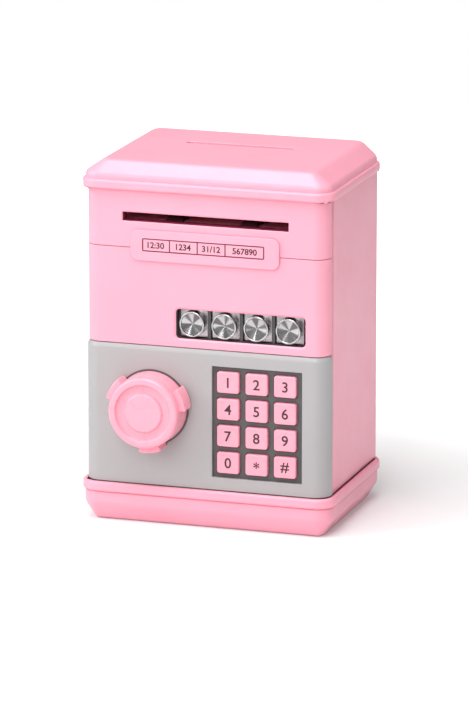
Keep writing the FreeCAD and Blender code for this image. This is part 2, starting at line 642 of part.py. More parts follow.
def make_door_shell():
    body = start("door_shell")
    half, front = "%s - panel_inset" % HALF, "%s + panel_inset" % FRONT
    shoulder = "panel_top + seam_gap"
    deep = FRONT + " + 30"
    radius = "front_radius - panel_inset"
    slab(body, "lower", ("-(%s)" % half, half), (front, deep), (DOOR_BOTTOM, shoulder), radius)
    slab(body, "upper", ("-" + HALF, HALF), (FRONT, deep), (shoulder, DOOR_TOP), "front_radius")
    half, front = "%s - door_skin" % HALF, "%s + door_skin" % FRONT
    tall = (DOOR_BOTTOM, DOOR_TOP)
    radius = "front_radius - door_skin"
    slab(body, "inside", ("-(%s)" % half, half), (front, FRONT + " + 40"), tall, radius, cut=True)
    wide = ("-%s - 2" % HALF, HALF + " + 2")
    block(body, "open_back", wide, (FRONT + " + front_return", FRONT + " + 50"), tall, cut=True)
    skin = (FRONT, FRONT + " + door_skin")
    window = (("window_left", "window_right"), ("window_bottom", "window_top"))
    front_slab(body, "window", *window, skin, "2", cut=True)
    pad_room = (("pad_left - 3", "pad_right + 3"), ("pad_bottom - 3", "pad_top + 3"))
    front_slab(body, "pad_room", *pad_room, (FRONT, FRONT + " + door_skin"), "2", cut=True)
    place = ("hinge_x", "hinge_y")
    knuckles = (("lower", (DOOR_BOTTOM, DOOR_BOTTOM + " + 7")), ("upper", (DOOR_TOP + " - 7", DOOR_TOP)))
    for name, span in knuckles:
        rod(body, name + "_knuckle", "z", place, span, "2.35")
        rod(body, name + "_bore", "z", place, span, "pin_radius + run_gap", cut=True)
    knob = ("knob_x", "knob_z")
    rod(body, "shaft_boss", "y", knob, (FRONT + " + 2", "-38"), "5.5")
    rod(body, "shaft_bore", "y", knob, (FRONT, "-38"), "shaft_radius + run_gap", cut=True)
    for index, place in enumerate(DOOR_POSTS):
        rod(body, "post_%d" % index, "y", place, (FRONT + " + 2", BOARD_BACK), "3")
        rod(body, "post_hole_%d" % index, "y", place, ("-36", BOARD_BACK), "1.45", cut=True)


def make_door_panel():
    body = start("door_panel")
    half, front = "%s + panel_proud" % HALF, "%s - panel_proud" % FRONT
    z = (DOOR_BOTTOM, "panel_top")
    slab(body, "panel", ("-(%s)" % half, half), (front, FRONT + " + 30"), z, "front_radius + panel_proud")
    half, front = "%s - panel_inset + 0.1" % HALF, "%s + panel_inset - 0.1" % FRONT
    radius = "front_radius - panel_inset + 0.1"
    slab(body, "inside", ("-(%s)" % half, half), (front, FRONT + " + 40"), z, radius, cut=True)
    wide = ("-%s - 3" % HALF, HALF + " + 3")
    back = (FRONT + " + front_return - 0.4", FRONT + " + 50")
    block(body, "open_back", wide, back, z, cut=True)
    soften(body, "top_bevel", "Fillet", level_outer("panel_top"), Radius="1.4")
    opening = (("pad_left", "pad_right"), ("pad_bottom", "pad_top"))
    skin = (FRONT + " - panel_proud - 0.1", FRONT + " + panel_inset")
    front_slab(body, "pad_opening", *opening, skin, "0.5", cut=True)
    through = (FRONT + " - panel_proud", FRONT + " + 2")
    rod(body, "shaft_hole", "y", ("knob_x", "knob_z"), through, "2.9", cut=True)
    relief = (DOOR_BOTTOM, DOOR_BOTTOM + " + 7.2")
    rod(body, "knuckle_relief", "z", ("hinge_x", "hinge_y"), relief, "2.45", cut=True)


def level_outer(height):
    # the outermost edges at this height, along the front and round both corners
    z = number(height)
    front, side = number(FRONT + " - panel_proud"), number(HALF + " + panel_proud")

    def test(box):
        flat = abs(box.ZMin - z) < 0.01 and abs(box.ZMax - z) < 0.01
        outermost = box.YMin < front + 0.01 or max(abs(box.XMin), abs(box.XMax)) > side - 0.01
        long_enough = box.XLength > 3 or box.YLength > 0.5
        return flat and outermost and long_enough

    return test


def make_label_plate():
    body = start("label_plate")
    x, z = ("-label_half", "label_half"), ("label_bottom", "label_top")
    front_slab(body, "plate", x, z, (FRONT + " - 1.1", FRONT + " - 0.3"), "4")
    soften(body, "edge", "Fillet", front_edge(FRONT + " - 1.1"), Radius="0.45")
    low = ("label_bottom + 0.4", "seam - seam_gap - 0.4")
    front_slab(body, "pad", ("-label_half + 3", "label_half - 3"), low, (FRONT + " - 0.5", FRONT), "0.5")
    field = (("-33.6", "32.4"), ("144.4", "151.3"))
    front_slab(body, "field", *field, (FRONT + " - 1.1", FRONT + " - 0.85"), "0.6", cut=True)


def front_edge(depth):
    y = number(depth)
    return lambda box: abs(box.YMin - y) < 0.01 and abs(box.YMax - y) < 0.01


def make_lamps():
    body = start("lamp_tray")
    x = ("window_left - 1.5", "window_right + 1.5")
    z = ("window_bottom - 1.5", "window_top + 1.5")
    block(body, "tray", x, (FRONT + " + door_skin + 0.05", FRONT + " + 6.6"), z)
    cell = (("window_left", "window_right"), ("window_bottom", "window_top"))
    front_slab(body, "hollow", *cell, (FRONT + " + door_skin", FRONT + " + 5.4"), "1.9", cut=True)
    tall = ("window_bottom - 0.2", "window_top + 0.2")
    for index in range(3):
        middle = "lamp_x + lamp_pitch*%.1f" % (index + 0.5)
        rib = (middle + " - 0.8", middle + " + 0.8")
        block(body, "rib_%d" % index, rib, (FRONT + " + 3.4", FRONT + " + 6"), tall)
    plates, caps, leds = start("lamp_reflectors"), start("lamp_caps"), start("lamp_leds")
    for index in range(4):
        middle = "lamp_x + lamp_pitch*%d" % index
        place = (middle, "lamp_z")
        rod(body, "led_hole_%d" % index, "y", place, (FRONT + " + 4", FRONT + " + 7"), "1.7", cut=True)
        x, z = (middle + " - 7.5", middle + " + 7.5"), ("lamp_z - 7.3", "lamp_z + 7.3")
        block(plates, "plate_%d" % index, x, (FRONT + " + 4.5", FRONT + " + 5.3"), z)
        rod(plates, "hole_%d" % index, "y", place, (FRONT + " + 4", FRONT + " + 6"), "1.7", cut=True)
        rod(leds, "led_%d" % index, "y", place, (FRONT + " + 3.7", FRONT + " + 7.1"), "1.5")
        cap(caps, index, middle)
    board = start("lamp_board")
    x, y = ("window_left - 1", "window_right + 1"), (FRONT + " + 7.15", FRONT + " + 8.6")
    block(board, "board", x, y, ("window_bottom", "window_top"))


def cap(body, index, middle):
    # a turned cap: a plain rim, then a shallow cone that sinks towards the middle
    place = (middle, "lamp_z")
    rod(body, "rim_%d" % index, "y", place, (FRONT + " + 0.3", FRONT + " + 4.4"), "lamp_radius")
    cone = body.newObject("PartDesign::SubtractiveCone", "dish_%d" % index)
    bind_place(cone, middle, FRONT + " + 0.3", "lamp_z", turn=TURNS["y"])
    bind(cone, "Radius1", "lamp_radius - 0.9")
    cone.Radius2 = 0.4
    cone.Height = 1.5
    rod(body, "led_room_%d" % index, "y", place, (FRONT + " + 3.1", FRONT + " + 4.4"), "2.1", cut=True)


def key_places():
    for row, names in enumerate(KEY_NAMES):
        for column, name in enumerate(names):
            yield name, "key_x + key_pitch_x*%d" % column, "key_z + key_pitch_z*%d" % row


def make_keys():
    for name, x, z in key_places():
        body = start(name, (x, KEY_BACK, z), OUTWARD)
        half_x, half_z = "key_width/2", "key_height/2"
        flange = (("-key_width/2 - 0.7", "key_width/2 + 0.7"), ("-key_height/2 - 0.7", "key_height/2 + 0.7"))
        slab(body, "flange", *flange, ("0", "1.1"), "0.8")
        slab(body, "cap", ("-" + half_x, half_x), ("-" + half_z, half_z), ("0.5", "5.3"), "1.3")
        soften(body, "cap_edge", "Fillet", lambda box: box.ZMin > 5.29, Radius="0.7")


def make_key_parts():
    frame = start("key_frame")
    x, z = ("pad_left - 2.4", "pad_right + 2.4"), ("pad_bottom - 2.4", "pad_top + 2.4")
    front_slab(frame, "plate", x, z, (FRONT + " + panel_inset + 0.05", FRONT + " + 2.6"), "1")
    x, z = ("pad_left + 0.1", "pad_right - 0.1"), ("pad_bottom + 0.1", "pad_top - 0.1")
    front_slab(frame, "step", x, z, (FRONT + " + 0.9", FRONT + " + 2"), "0.5")
    mat = start("key_mat")
    x, z = ("pad_left - 1", "pad_right + 1"), ("pad_bottom - 1", "pad_top + 1")
    block(mat, "sheet", x, (FRONT + " + 6.0", FRONT + " + 6.8"), z)
    for index, (name, x, z) in enumerate(key_places()):
        wide = (x + " - key_width/2 - 0.3", x + " + key_width/2 + 0.3")
        tall = (z + " - key_height/2 - 0.3", z + " + key_height/2 + 0.3")
        deep = (FRONT + " + 0.5", FRONT + " + 3")
        front_slab(frame, "key_hole_%d" % index, wide, tall, deep, "1.5", cut=True)
        rod(mat, "dome_%d" % index, "y", (x, z), (FRONT + " + 5.5", FRONT + " + 6.2"), "3.6")
    board = start("key_board")
    x, z = ("pad_left - 2", "pad_right + 2"), ("pad_bottom - 2", "pad_top + 2")
    block(board, "board", x, (FRONT + " + 6.9", FRONT + " + 8.4"), z)


def make_door_back():
    body = start("door_back")
    x, z, y = ("-54", "54"), ("24", "140"), (FRONT + " + front_return + 0.2", TRAY_BACK)
    front_slab(body, "tray", x, z, y, "4")
    soften(body, "tray_edge", "Fillet", front_edge(TRAY_BACK), Radius="1.5")
    room = (("-52", "52"), ("26", "138"), (y[0] + " - 1", TRAY_BACK + " - 2"))
    front_slab(body, "room", *room, "2.5", cut=True)
    slot = ("bolt_front - 0.3", "bolt_front + bolt_thick + 0.3")
    block(body, "bolt_slot", ("-55", "-51"), slot, ("knob_z + 4.1", "knob_z + 12.2"), cut=True)
    for index, place in enumerate(DOOR_POSTS):
        rod(body, "screw_hole_%d" % index, "y", place, ("-23", TRAY_BACK), "1.7", cut=True)
    guide = ("bolt_front", TRAY_BACK + " - 1")
    block(body, "upper_guide", ("-50.5", "-46"), guide, ("knob_z + 12", "knob_z + 14"))
    block(body, "inner_guide", ("-16", "-12"), guide, ("knob_z + 12", "knob_z + 14"))
    block(body, "lower_guide", ("-50.5", "-46"), guide, ("knob_z + 2.2", "knob_z + 4.3"))
    knob, seat = ("knob_x", "knob_z"), "-23.2"
    rod(body, "shaft_seat", "y", knob, (seat, TRAY_BACK + " - 1"), "4.5")
    rod(body, "shaft_seat_bore", "y", knob, (seat, TRAY_BACK + " - 0.8"), "1.6 + run_gap", cut=True)


def make_electronics():
    board = start("main_board")
    block(board, "board", ("-48", "46"), ("-31.5", "-30"), ("98", "131"))
    block(board, "chip", ("-12", "2"), ("-30", "-28.4"), ("108", "122"))
    block(board, "socket", ("30", "40"), ("-30", "-25.5"), ("102", "110"))
    for index in range(3):
        place = ("-38 + 8*%d" % index, "124")
        rod(board, "capacitor_%d" % index, "y", place, ("-30", "-24.5"), "2.5")
    speaker = start("speaker")
    rod(speaker, "basket", "y", ("16", "116"), ("-28.5", "-22.4"), "11.5")
    rod(speaker, "cone", "y", ("16", "116"), ("-28.5", "-27"), "9.5", cut=True)
    coil = start("lock_coil")
    block(coil, "coil", ("-45", "-33"), ("-33", BOARD_BACK), ("79", "94"))
    above_bolt = (PLUNGER_X, "bolt_front + bolt_thick/2")
    rod(coil, "plunger_room", "z", above_bolt, ("79", "92"), "1.5 + run_gap", cut=True)
    plunger = start("lock_plunger")
    rod(plunger, "plunger", "z", above_bolt, ("knob_z + 12.5", "89.5"), "1.5")


# ---- the knob and the bolt ----

def make_knob():
    body = start("knob", ("knob_x", FRONT + " - panel_proud - 0.3", "knob_z"), OUTWARD)
    drum = body.newObject("PartDesign::AdditiveCone", "drum")
    bind(drum, "Radius1", "knob_radius + 0.5")
    bind(drum, "Radius2", "knob_radius")
    bind(drum, "Height", "knob_height - 0.3")
    doc.recompute()
    top = number("knob_height - 0.3")
    soften(body, "rim_edge", "Fillet", lambda box: box.ZMin > top - 0.01, Radius="1.5")
    rod(body, "dish", "z", ("0", "0"), ("knob_height - 2.1", "knob_height"), "15", cut=True)
    rod(body, "boss", "z", ("0", "0"), ("knob_height - 3", "knob_height - 0.7"), "10")
    crown = top - 0.4

    def boss_top(box):
        return abs(box.ZMin - crown) < 0.01 and box.XLength < 21

    soften(body, "boss_edge", "Fillet", boss_top, Radius="0.9")
    lug_sketch = sketch_on(body, "lug_outline", "XY_Plane", "lug_foot")
    inner, outer = number("knob_radius - 1"), number("knob_radius + lug_reach")
    first, last = LUG_MIDDLE - LUG_HALF_ANGLE, LUG_MIDDLE + LUG_HALF_ANGLE
    for radius in (inner, outer):
        circle = Part.Circle(Vector(), Vector(0, 0, 1), radius)
        lug_sketch.addGeometry(Part.ArcOfCircle(circle, first, last))
    lug_sketch.addGeometry(Part.LineSegment(at(inner, first), at(outer, first)))
    lug_sketch.addGeometry(Part.LineSegment(at(inner, last), at(outer, last)))
    for arc in (0, 1):
        lug_sketch.addConstraint(Sketcher.Constraint("Coincident", arc, 3, -1, 1))
        lug_sketch.addConstraint(Sketcher.Constraint("Coincident", arc, 1, 2, arc + 1))
        lug_sketch.addConstraint(Sketcher.Constraint("Coincident", arc, 2, 3, arc + 1))
    fix(lug_sketch, "Radius", "knob_radius - 1", 0)
    fix(lug_sketch, "Radius", "knob_radius + lug_reach", 1)
    lug = pad(body, "lug", lug_sketch, "lug_height")
    pattern = body.newObject("PartDesign::PolarPattern", "lugs")
    pattern.Originals = [lug]
    pattern.Axis = ([f for f in body.Origin.OriginFeatures if f.Role == "Z_Axis"][0], [""])
    pattern.Angle = LUG_SPREAD
    pattern.Occurrences = 3
    body.Tip = pattern
    level = number("lug_foot + lug_height")

    def lug_top(box):
        return abs(box.ZMin - level) < 0.01 and abs(box.ZMax - level) < 0.01 and box.DiagonalLength > 8

    soften(body, "lug_edge", "Fillet", lug_top, Radius="0.8")
    rod(body, "shaft_socket", "z", ("0", "0"), ("0", "9"), "shaft_radius + 0.01", cut=True)
    depth = ("knob_height - 2.4", "knob_height - 1")
    for name, y in (("upper_mark", ("10.6", "14.4")), ("lower_mark", ("-14.4", "-10.6"))):
        block(body, name, ("-0.3", "0.3"), y, depth, cut=True)


def make_shaft_and_bolt():
    module = number("latch_module")
    pitch = module * LATCH_TEETH / 2
    thick = number("bolt_thick")
    front = number("bolt_front")
    # local z runs out of the front, so the pinion lies from the bolt's back to its front
    teeth = gear_face(module, LATCH_TEETH, math.pi / 2 + math.pi / LATCH_TEETH)
    pinion = teeth.extrude(Vector(0, 0, thick - 0.4))
    rear = Part.makeCylinder(1.6, 3, Vector(0, 0, -2.4))
    length = 54 + front + thick
    shaft = Part.makeCylinder(number("shaft_radius"), length, Vector(0, 0, 0))
    shape = pinion.fuse([rear, shaft]).removeSplitter()
    solid("knob_shaft", shape, ("knob_x", "bolt_front + bolt_thick - 0.2", "knob_z"), OUTWARD)
    # the bolt is drawn from the pitch line of its rack, right above the knob's axis
    middle = number("knob_x")
    top = BOLT_TOP - pitch - RACK_SLACK
    bar = rack_face(module, 5, 0.0, top, number("bolt_tip") - middle, BOLT_END - middle)
    bar = bar.extrude(Vector(0, 0, thick))
    travel = pitch * math.pi / 2
    for notch in (0.0, travel):
        centre = PLUNGER_X - middle + notch
        bar = bar.cut(Part.makeBox(3.8, 2.6, thick, Vector(centre - 1.9, BOLT_TOP - pitch - 2.4, 0)))
    rise = "knob_z + %.4f" % (pitch + RACK_SLACK)
    solid("latch_bolt", bar, ("knob_x", "bolt_front + bolt_thick", rise), OUTWARD)
    clip = start("knob_clip")
    place, thin = ("knob_x", "knob_z"), ("-37.6", "-36.6")
    rod(clip, "ring", "y", place, thin, "4.6")
    rod(clip, "bore", "y", place, thin, "shaft_radius + 0.01", cut=True)
    block(clip, "mouth", ("knob_x - 1.5", "knob_x + 1.5"), thin, ("knob_z - 6", "knob_z"), cut=True)


make_base()
make_body_shell()
make_upper_front()
make_lid()
make_vault_floor()
make_hinge_pins()
make_screws("base_screws", "z", POSTS, ("2", "3.95"), ("3.5", "base_top + 12"), "2.9", "1.5")
make_battery_box()
make_cells()
make_contacts()
make_battery_cover()
make_screws("battery_screw", "z", [("battery_x", "24.5")], ("0.6", "1.55"), ("1", "2.9"), "2.7", "1.5")
make_feed_frame()
make_motor()
make_feed_shafts()
make_rollers("drive_rollers", "drive_z", "4.51")
make_rollers("idle_rollers", "idle_z", "4.51")
make_feed_gears()
make_door_shell()
make_door_panel()
make_label_plate()
make_lamps()
make_key_parts()
make_keys()
make_door_back()
TRAY_HEAD = (TRAY_BACK + " + 0.05", TRAY_BACK + " + 1.6")
make_screws("door_screws", "y", DOOR_POSTS, TRAY_HEAD, ("-34", TRAY_BACK + " + 0.5"), "2.8", "1.4")
make_electronics()
make_knob()
make_shaft_and_bolt()
doc.recompute()

broken = [o.Name for o in doc.Objects if "Invalid" in o.State or "Error" in o.State]
broken += [n.Label for n in nodes if n.Shape.isNull() or not n.Shape.isValid()]
if broken:
    raise RuntimeError("not built: %s" % broken)
os.makedirs("parts", exist_ok=True)
for node in nodes:
    node.Shape.exportStep("parts/%s.step" % node.Label)
    print("%-18s %9.1f mm3, %d solid(s)" % (node.Label, node.Shape.Volume, len(node.Shape.Solids)))
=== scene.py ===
import json
import math

import bmesh
import bpy
from mathutils import Matrix, Vector

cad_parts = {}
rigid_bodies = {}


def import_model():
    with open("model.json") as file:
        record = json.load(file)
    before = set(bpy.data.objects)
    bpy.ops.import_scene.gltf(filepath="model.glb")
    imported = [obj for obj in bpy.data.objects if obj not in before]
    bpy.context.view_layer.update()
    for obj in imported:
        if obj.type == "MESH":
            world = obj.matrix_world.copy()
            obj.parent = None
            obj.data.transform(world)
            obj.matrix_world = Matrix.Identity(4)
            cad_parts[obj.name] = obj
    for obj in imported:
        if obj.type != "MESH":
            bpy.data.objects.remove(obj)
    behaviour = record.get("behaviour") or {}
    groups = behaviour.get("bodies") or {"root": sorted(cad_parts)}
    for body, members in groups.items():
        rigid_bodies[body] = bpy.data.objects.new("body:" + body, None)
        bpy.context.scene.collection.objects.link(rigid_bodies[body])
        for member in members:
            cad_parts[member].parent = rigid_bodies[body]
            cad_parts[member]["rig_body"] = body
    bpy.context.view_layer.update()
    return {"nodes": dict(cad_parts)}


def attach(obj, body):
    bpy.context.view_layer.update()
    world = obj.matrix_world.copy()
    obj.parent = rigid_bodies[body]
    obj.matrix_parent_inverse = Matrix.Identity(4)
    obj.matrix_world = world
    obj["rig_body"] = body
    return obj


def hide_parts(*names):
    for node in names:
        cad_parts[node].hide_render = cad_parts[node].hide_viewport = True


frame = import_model()
mm = 0.001
facingFront = Matrix.Rotation(math.pi / 2, 3, "X")  # a flat outline stood up, facing out of the front
print("frame loaded:", len(frame["nodes"]), "nodes")


# materials are put together node by node with these
def addNode(tree, kind, **settings):
    made = tree.nodes.new("ShaderNode" + kind)
    for name, value in settings.items():
        setattr(made, name, value)
    return made


def setInputs(node, values):
    for name, value in values.items():
        node.inputs[name].default_value = value


def calc(tree, operation, first, second=0.0, clamp=False):
    made = addNode(tree, "Math", operation=operation, use_clamp=clamp)
    for socket, value in zip(made.inputs, (first, second)):
        if isinstance(value, bpy.types.NodeSocket):
            tree.links.new(value, socket)
        else:
            socket.default_value = value
    return made.outputs[0]


def remap(tree, value, low, high, fromLow=0.0, fromHigh=1.0):
    made = addNode(tree, "MapRange")
    setInputs(made, {"From Min": fromLow, "From Max": fromHigh, "To Min": low, "To Max": high})
    tree.links.new(value, made.inputs["Value"])
    return made.outputs["Result"]


def mixColours(tree, factor, first, second, blend="MIX"):
    made = addNode(tree, "Mix", data_type="RGBA", blend_type=blend)
    for socket, value in ((made.inputs[0], factor), (made.inputs[6], first), (made.inputs[7], second)):
        if isinstance(value, bpy.types.NodeSocket):
            tree.links.new(value, socket)
        elif isinstance(value, tuple):
            socket.default_value = value + (1.0,)
        else:
            socket.default_value = value
    return made.outputs[2]


def noise(tree, place, scale, detail=2.0, roughness=0.5):
    made = addNode(tree, "TexNoise")
    setInputs(made, {"Scale": scale, "Detail": detail, "Roughness": roughness})
    tree.links.new(place, made.inputs["Vector"])
    return made.outputs["Fac"]


def newGroup(name, inputs, outputs):
    group = bpy.data.node_groups.new(name, "ShaderNodeTree")
    for title, value in inputs.items():
        made = group.interface.new_socket(title, in_out="INPUT", socket_type="NodeSocketFloat")
        made.default_value = value
    for title in outputs:
        group.interface.new_socket(title, in_out="OUTPUT", socket_type="NodeSocketFloat")
    return group, group.nodes.new("NodeGroupInput"), group.nodes.new("NodeGroupOutput")


def makeMouldedSurface():
    # spark-eroded grain, slow colour drift and handling marks of an injection moulding
    sizes = {"Grain Size": 0.5, "Drift Size": 60.0}
    group, inside, out = newGroup("mouldedSurface", sizes, ("Grain", "Drift", "Marks"))
    place = addNode(group, "TexCoord").outputs["Object"]
    grainScale = calc(group, "DIVIDE", 1.0 / mm, inside.outputs["Grain Size"])
    fine = addNode(group, "TexNoise")
    setInputs(fine, {"Detail": 3.0, "Roughness": 0.62})
    ripple = addNode(group, "TexNoise")
    setInputs(ripple, {"Detail": 1.0, "Roughness": 0.4})
    rippleScale = calc(group, "MULTIPLY", grainScale, 0.13)
    drift = addNode(group, "TexNoise")
    setInputs(drift, {"Detail": 2.0, "Roughness": 0.5})
    driftScale = calc(group, "DIVIDE", 1.0 / mm, inside.outputs["Drift Size"])
    for node, scale in ((fine, grainScale), (ripple, rippleScale), (drift, driftScale)):
        group.links.new(place, node.inputs["Vector"])
        group.links.new(scale, node.inputs["Scale"])
    marks = noise(group, place, 55.0, 5.0, 0.66)
    grain = calc(group, "ADD", calc(group, "MULTIPLY", fine.outputs["Fac"], 0.45),
                 calc(group, "MULTIPLY", ripple.outputs["Fac"], 0.55))
    group.links.new(grain, out.inputs["Grain"])
    group.links.new(remap(group, drift.outputs["Fac"], 0.0, 1.0, 0.3, 0.7), out.inputs["Drift"])
    group.links.new(remap(group, marks, 0.0, 1.0, 0.38, 0.68), out.inputs["Marks"])
    return group


def makeBrushedSurface():
    # fine drawn lines along one axis of the piece
    group, inside, out = newGroup("brushedSurface", {"Across": 2600.0, "Along": 60.0}, ("Lines", "Tarnish"))
    place = addNode(group, "TexCoord").outputs["Object"]
    stretch = addNode(group, "CombineXYZ")
    for axis, source in (("X", "Along"), ("Y", "Across"), ("Z", "Across")):
        group.links.new(inside.outputs[source], stretch.inputs[axis])
    scaled = addNode(group, "VectorMath", operation="MULTIPLY")
    group.links.new(place, scaled.inputs[0])
    group.links.new(stretch.outputs[0], scaled.inputs[1])
    group.links.new(noise(group, scaled.outputs[0], 1.0, 2.0), out.inputs["Lines"])
    tarnish = noise(group, place, 160.0, 4.0, 0.6)
    group.links.new(remap(group, tarnish, 0.0, 1.0, 0.35, 0.7), out.inputs["Tarnish"])
    return group


mouldedSurface = makeMouldedSurface()
brushedSurface = makeBrushedSurface()


def newMaterial(name):
    material = bpy.data.materials.new(name)
    material.use_nodes = True
    return material, material.node_tree, material.node_tree.nodes["Principled BSDF"]


def addGroup(tree, group, **values):
    made = tree.nodes.new("ShaderNodeGroup")
    made.node_tree = group
    for name, value in values.items():
        made.inputs[name.replace("_", " ")].default_value = value
    return made


def addBump(tree, shader, height, strength, depth):
    bump = addNode(tree, "Bump")
    setInputs(bump, {"Strength": strength, "Distance": depth * mm})
    tree.links.new(height, bump.inputs["Height"])
    tree.links.new(bump.outputs["Normal"], shader.inputs["Normal"])


def plasticMaterial(name, look):
    material, tree, shader = newMaterial(name)
    surface = addGroup(tree, mouldedSurface, Grain_Size=look["grain"], Drift_Size=look.get("drift", 60.0))
    colour = mixColours(tree, surface.outputs["Drift"], look["colour"], look["shade"])
    tree.links.new(colour, shader.inputs["Base Color"])
    low, high = look["gloss"]
    tree.links.new(remap(tree, surface.outputs["Marks"], low, high), shader.inputs["Roughness"])
    addBump(tree, shader, surface.outputs["Grain"], look.get("bump", 0.25), look.get("depth", 0.02))
    setInputs(shader, {"Specular IOR Level": look.get("specular", 0.5), "Coat Weight": look.get("coat", 0.0),
                       "Coat Roughness": 0.12})
    return material


def metalMaterial(name, look):
    material, tree, shader = newMaterial(name)
    surface = addGroup(tree, brushedSurface, Across=look.get("across", 2600.0), Along=look.get("along", 60.0))
    colour = mixColours(tree, surface.outputs["Tarnish"], look["colour"], look["shade"])
    tree.links.new(colour, shader.inputs["Base Color"])
    low, high = look["gloss"]
    tree.links.new(remap(tree, surface.outputs["Lines"], low, high), shader.inputs["Roughness"])
    addBump(tree, shader, surface.outputs["Lines"], look.get("bump", 0.15), 0.01)
    setInputs(shader, {"Metallic": 1.0})
    return material


plastics = {
    "pinkShell": {"colour": (0.90, 0.362, 0.462), "shade": (0.87, 0.340, 0.438), "gloss": (0.30, 0.42),
                  "grain": 0.45, "coat": 0.2, "specular": 0.3},
    "pinkGloss": {"colour": (0.91, 0.350, 0.440), "shade": (0.88, 0.326, 0.416), "gloss": (0.24, 0.34),
                  "grain": 0.35, "coat": 0.3, "specular": 0.35},
    "pinkInside": {"colour": (0.88, 0.33, 0.43), "shade": (0.84, 0.30, 0.40), "gloss": (0.42, 0.56),
                   "grain": 0.8, "depth": 0.04},
    "greySatin": {"colour": (0.378, 0.364, 0.368), "shade": (0.360, 0.346, 0.351), "gloss": (0.36, 0.48),
                  "grain": 0.4, "coat": 0.15},
    "darkMatt": {"colour": (0.095, 0.088, 0.090), "shade": (0.080, 0.074, 0.076), "gloss": (0.50, 0.64),
                 "grain": 0.6, "depth": 0.04},
    "windowDark": {"colour": (0.085, 0.080, 0.082), "shade": (0.065, 0.060, 0.062), "gloss": (0.34, 0.46),
                   "grain": 0.6},
    "blackMatt": {"colour": (0.030, 0.030, 0.032), "shade": (0.020, 0.020, 0.022), "gloss": (0.45, 0.62),
                  "grain": 0.7, "depth": 0.04},
    "tyreRubber": {"colour": (0.055, 0.053, 0.052), "shade": (0.040, 0.038, 0.038), "gloss": (0.68, 0.85),
                   "grain": 0.5, "depth": 0.06},
    "wineRubber": {"colour": (0.085, 0.010, 0.024), "shade": (0.065, 0.007, 0.018), "gloss": (0.62, 0.80),
                   "grain": 0.5, "depth": 0.06},
    # deep wine: painted shade, the pink plastic as it looks in the dark of the banknote slot
    "wineInside": {"colour": (0.240, 0.022, 0.065), "shade": (0.200, 0.016, 0.050), "gloss": (0.42, 0.56),
                   "grain": 0.8, "depth": 0.04},
    "naturalNylon": {"colour": (0.80, 0.78, 0.70), "shade": (0.76, 0.73, 0.64), "gloss": (0.34, 0.46),
                     "grain": 0.5},
    "keyInk": {"colour": (0.050, 0.026, 0.034), "shade": (0.040, 0.020, 0.028), "gloss": (0.42, 0.52),
               "grain": 0.3},
    "frameInk": {"colour": (0.150, 0.022, 0.048), "shade": (0.120, 0.016, 0.038), "gloss": (0.38, 0.48),
                 "grain": 0.3},
}
finishes = {name: plasticMaterial(name, look) for name, look in plastics.items()}

metals = {
    "platedSteel": {"colour": (0.62, 0.62, 0.63), "shade": (0.48, 0.47, 0.47), "gloss": (0.22, 0.42)},
    "drawnSteel": {"colour": (0.58, 0.58, 0.58), "shade": (0.40, 0.39, 0.38), "gloss": (0.30, 0.50),
                   "along": 30.0},
    "springBrass": {"colour": (0.78, 0.60, 0.30), "shade": (0.62, 0.44, 0.20), "gloss": (0.20, 0.38)},
    "brightTrim": {"colour": (0.56, 0.55, 0.56), "shade": (0.44, 0.43, 0.44), "gloss": (0.12, 0.26),
                   "across": 900.0, "along": 900.0},
    "mirrorPlate": {"colour": (0.46, 0.42, 0.43), "shade": (0.26, 0.23, 0.24), "gloss": (0.16, 0.36),
                    "across": 500.0, "along": 70.0},
}
finishes.update({name: metalMaterial(name, look) for name, look in metals.items()})


def makeSpunMetal():
    # the lamp dishes: turned metal, with a painted reflection of bright and dark wedges round its middle
    lamp = {"first": -7.4, "pitch": 17.2, "height": 107.5, "wedges": 5.0, "dark": (0.16, 0.155, 0.16),
            "bright": (0.50, 0.49, 0.50), "ringsPerRadian": 14000.0}
    material, tree, shader = newMaterial("spunMetal")
    split = addNode(tree, "SeparateXYZ")
    tree.links.new(addNode(tree, "TexCoord").outputs["Object"], split.inputs[0])
    fromFirst = calc(tree, "SUBTRACT", split.outputs["X"], lamp["first"] * mm)
    along = calc(tree, "DIVIDE", fromFirst, lamp["pitch"] * mm)
    nearest = calc(tree, "ROUND", along)
    across = calc(tree, "MULTIPLY", calc(tree, "SUBTRACT", along, nearest), lamp["pitch"] * mm)
    up = calc(tree, "SUBTRACT", split.outputs["Z"], lamp["height"] * mm)
    angle = calc(tree, "ADD", calc(tree, "ARCTAN2", up, across), calc(tree, "MULTIPLY", nearest, 0.9))
    wave = calc(tree, "SINE", calc(tree, "MULTIPLY", angle, lamp["wedges"]))
    second = calc(tree, "SINE", calc(tree, "ADD", calc(tree, "MULTIPLY", angle, 3.0), 0.8))
    both = calc(tree, "ADD", calc(tree, "MULTIPLY", wave, 0.65), calc(tree, "MULTIPLY", second, 0.35))
    # the bright and dark wedges in the base colour are a painted reflection
    paintedReflection = remap(tree, both, 0.0, 1.0, -0.35, 0.35)
    tree.links.new(mixColours(tree, paintedReflection, lamp["dark"], lamp["bright"]), shader.inputs["Base Color"])
    radius = calc(tree, "SQRT", calc(tree, "ADD", calc(tree, "MULTIPLY", across, across),
                                     calc(tree, "MULTIPLY", up, up)))
    rings = calc(tree, "SINE", calc(tree, "MULTIPLY", radius, lamp["ringsPerRadian"]))
    tree.links.new(remap(tree, paintedReflection, 0.34, 0.16), shader.inputs["Roughness"])
    addBump(tree, shader, rings, 0.12, 0.01)
    setInputs(shader, {"Metallic": 1.0})
    return material


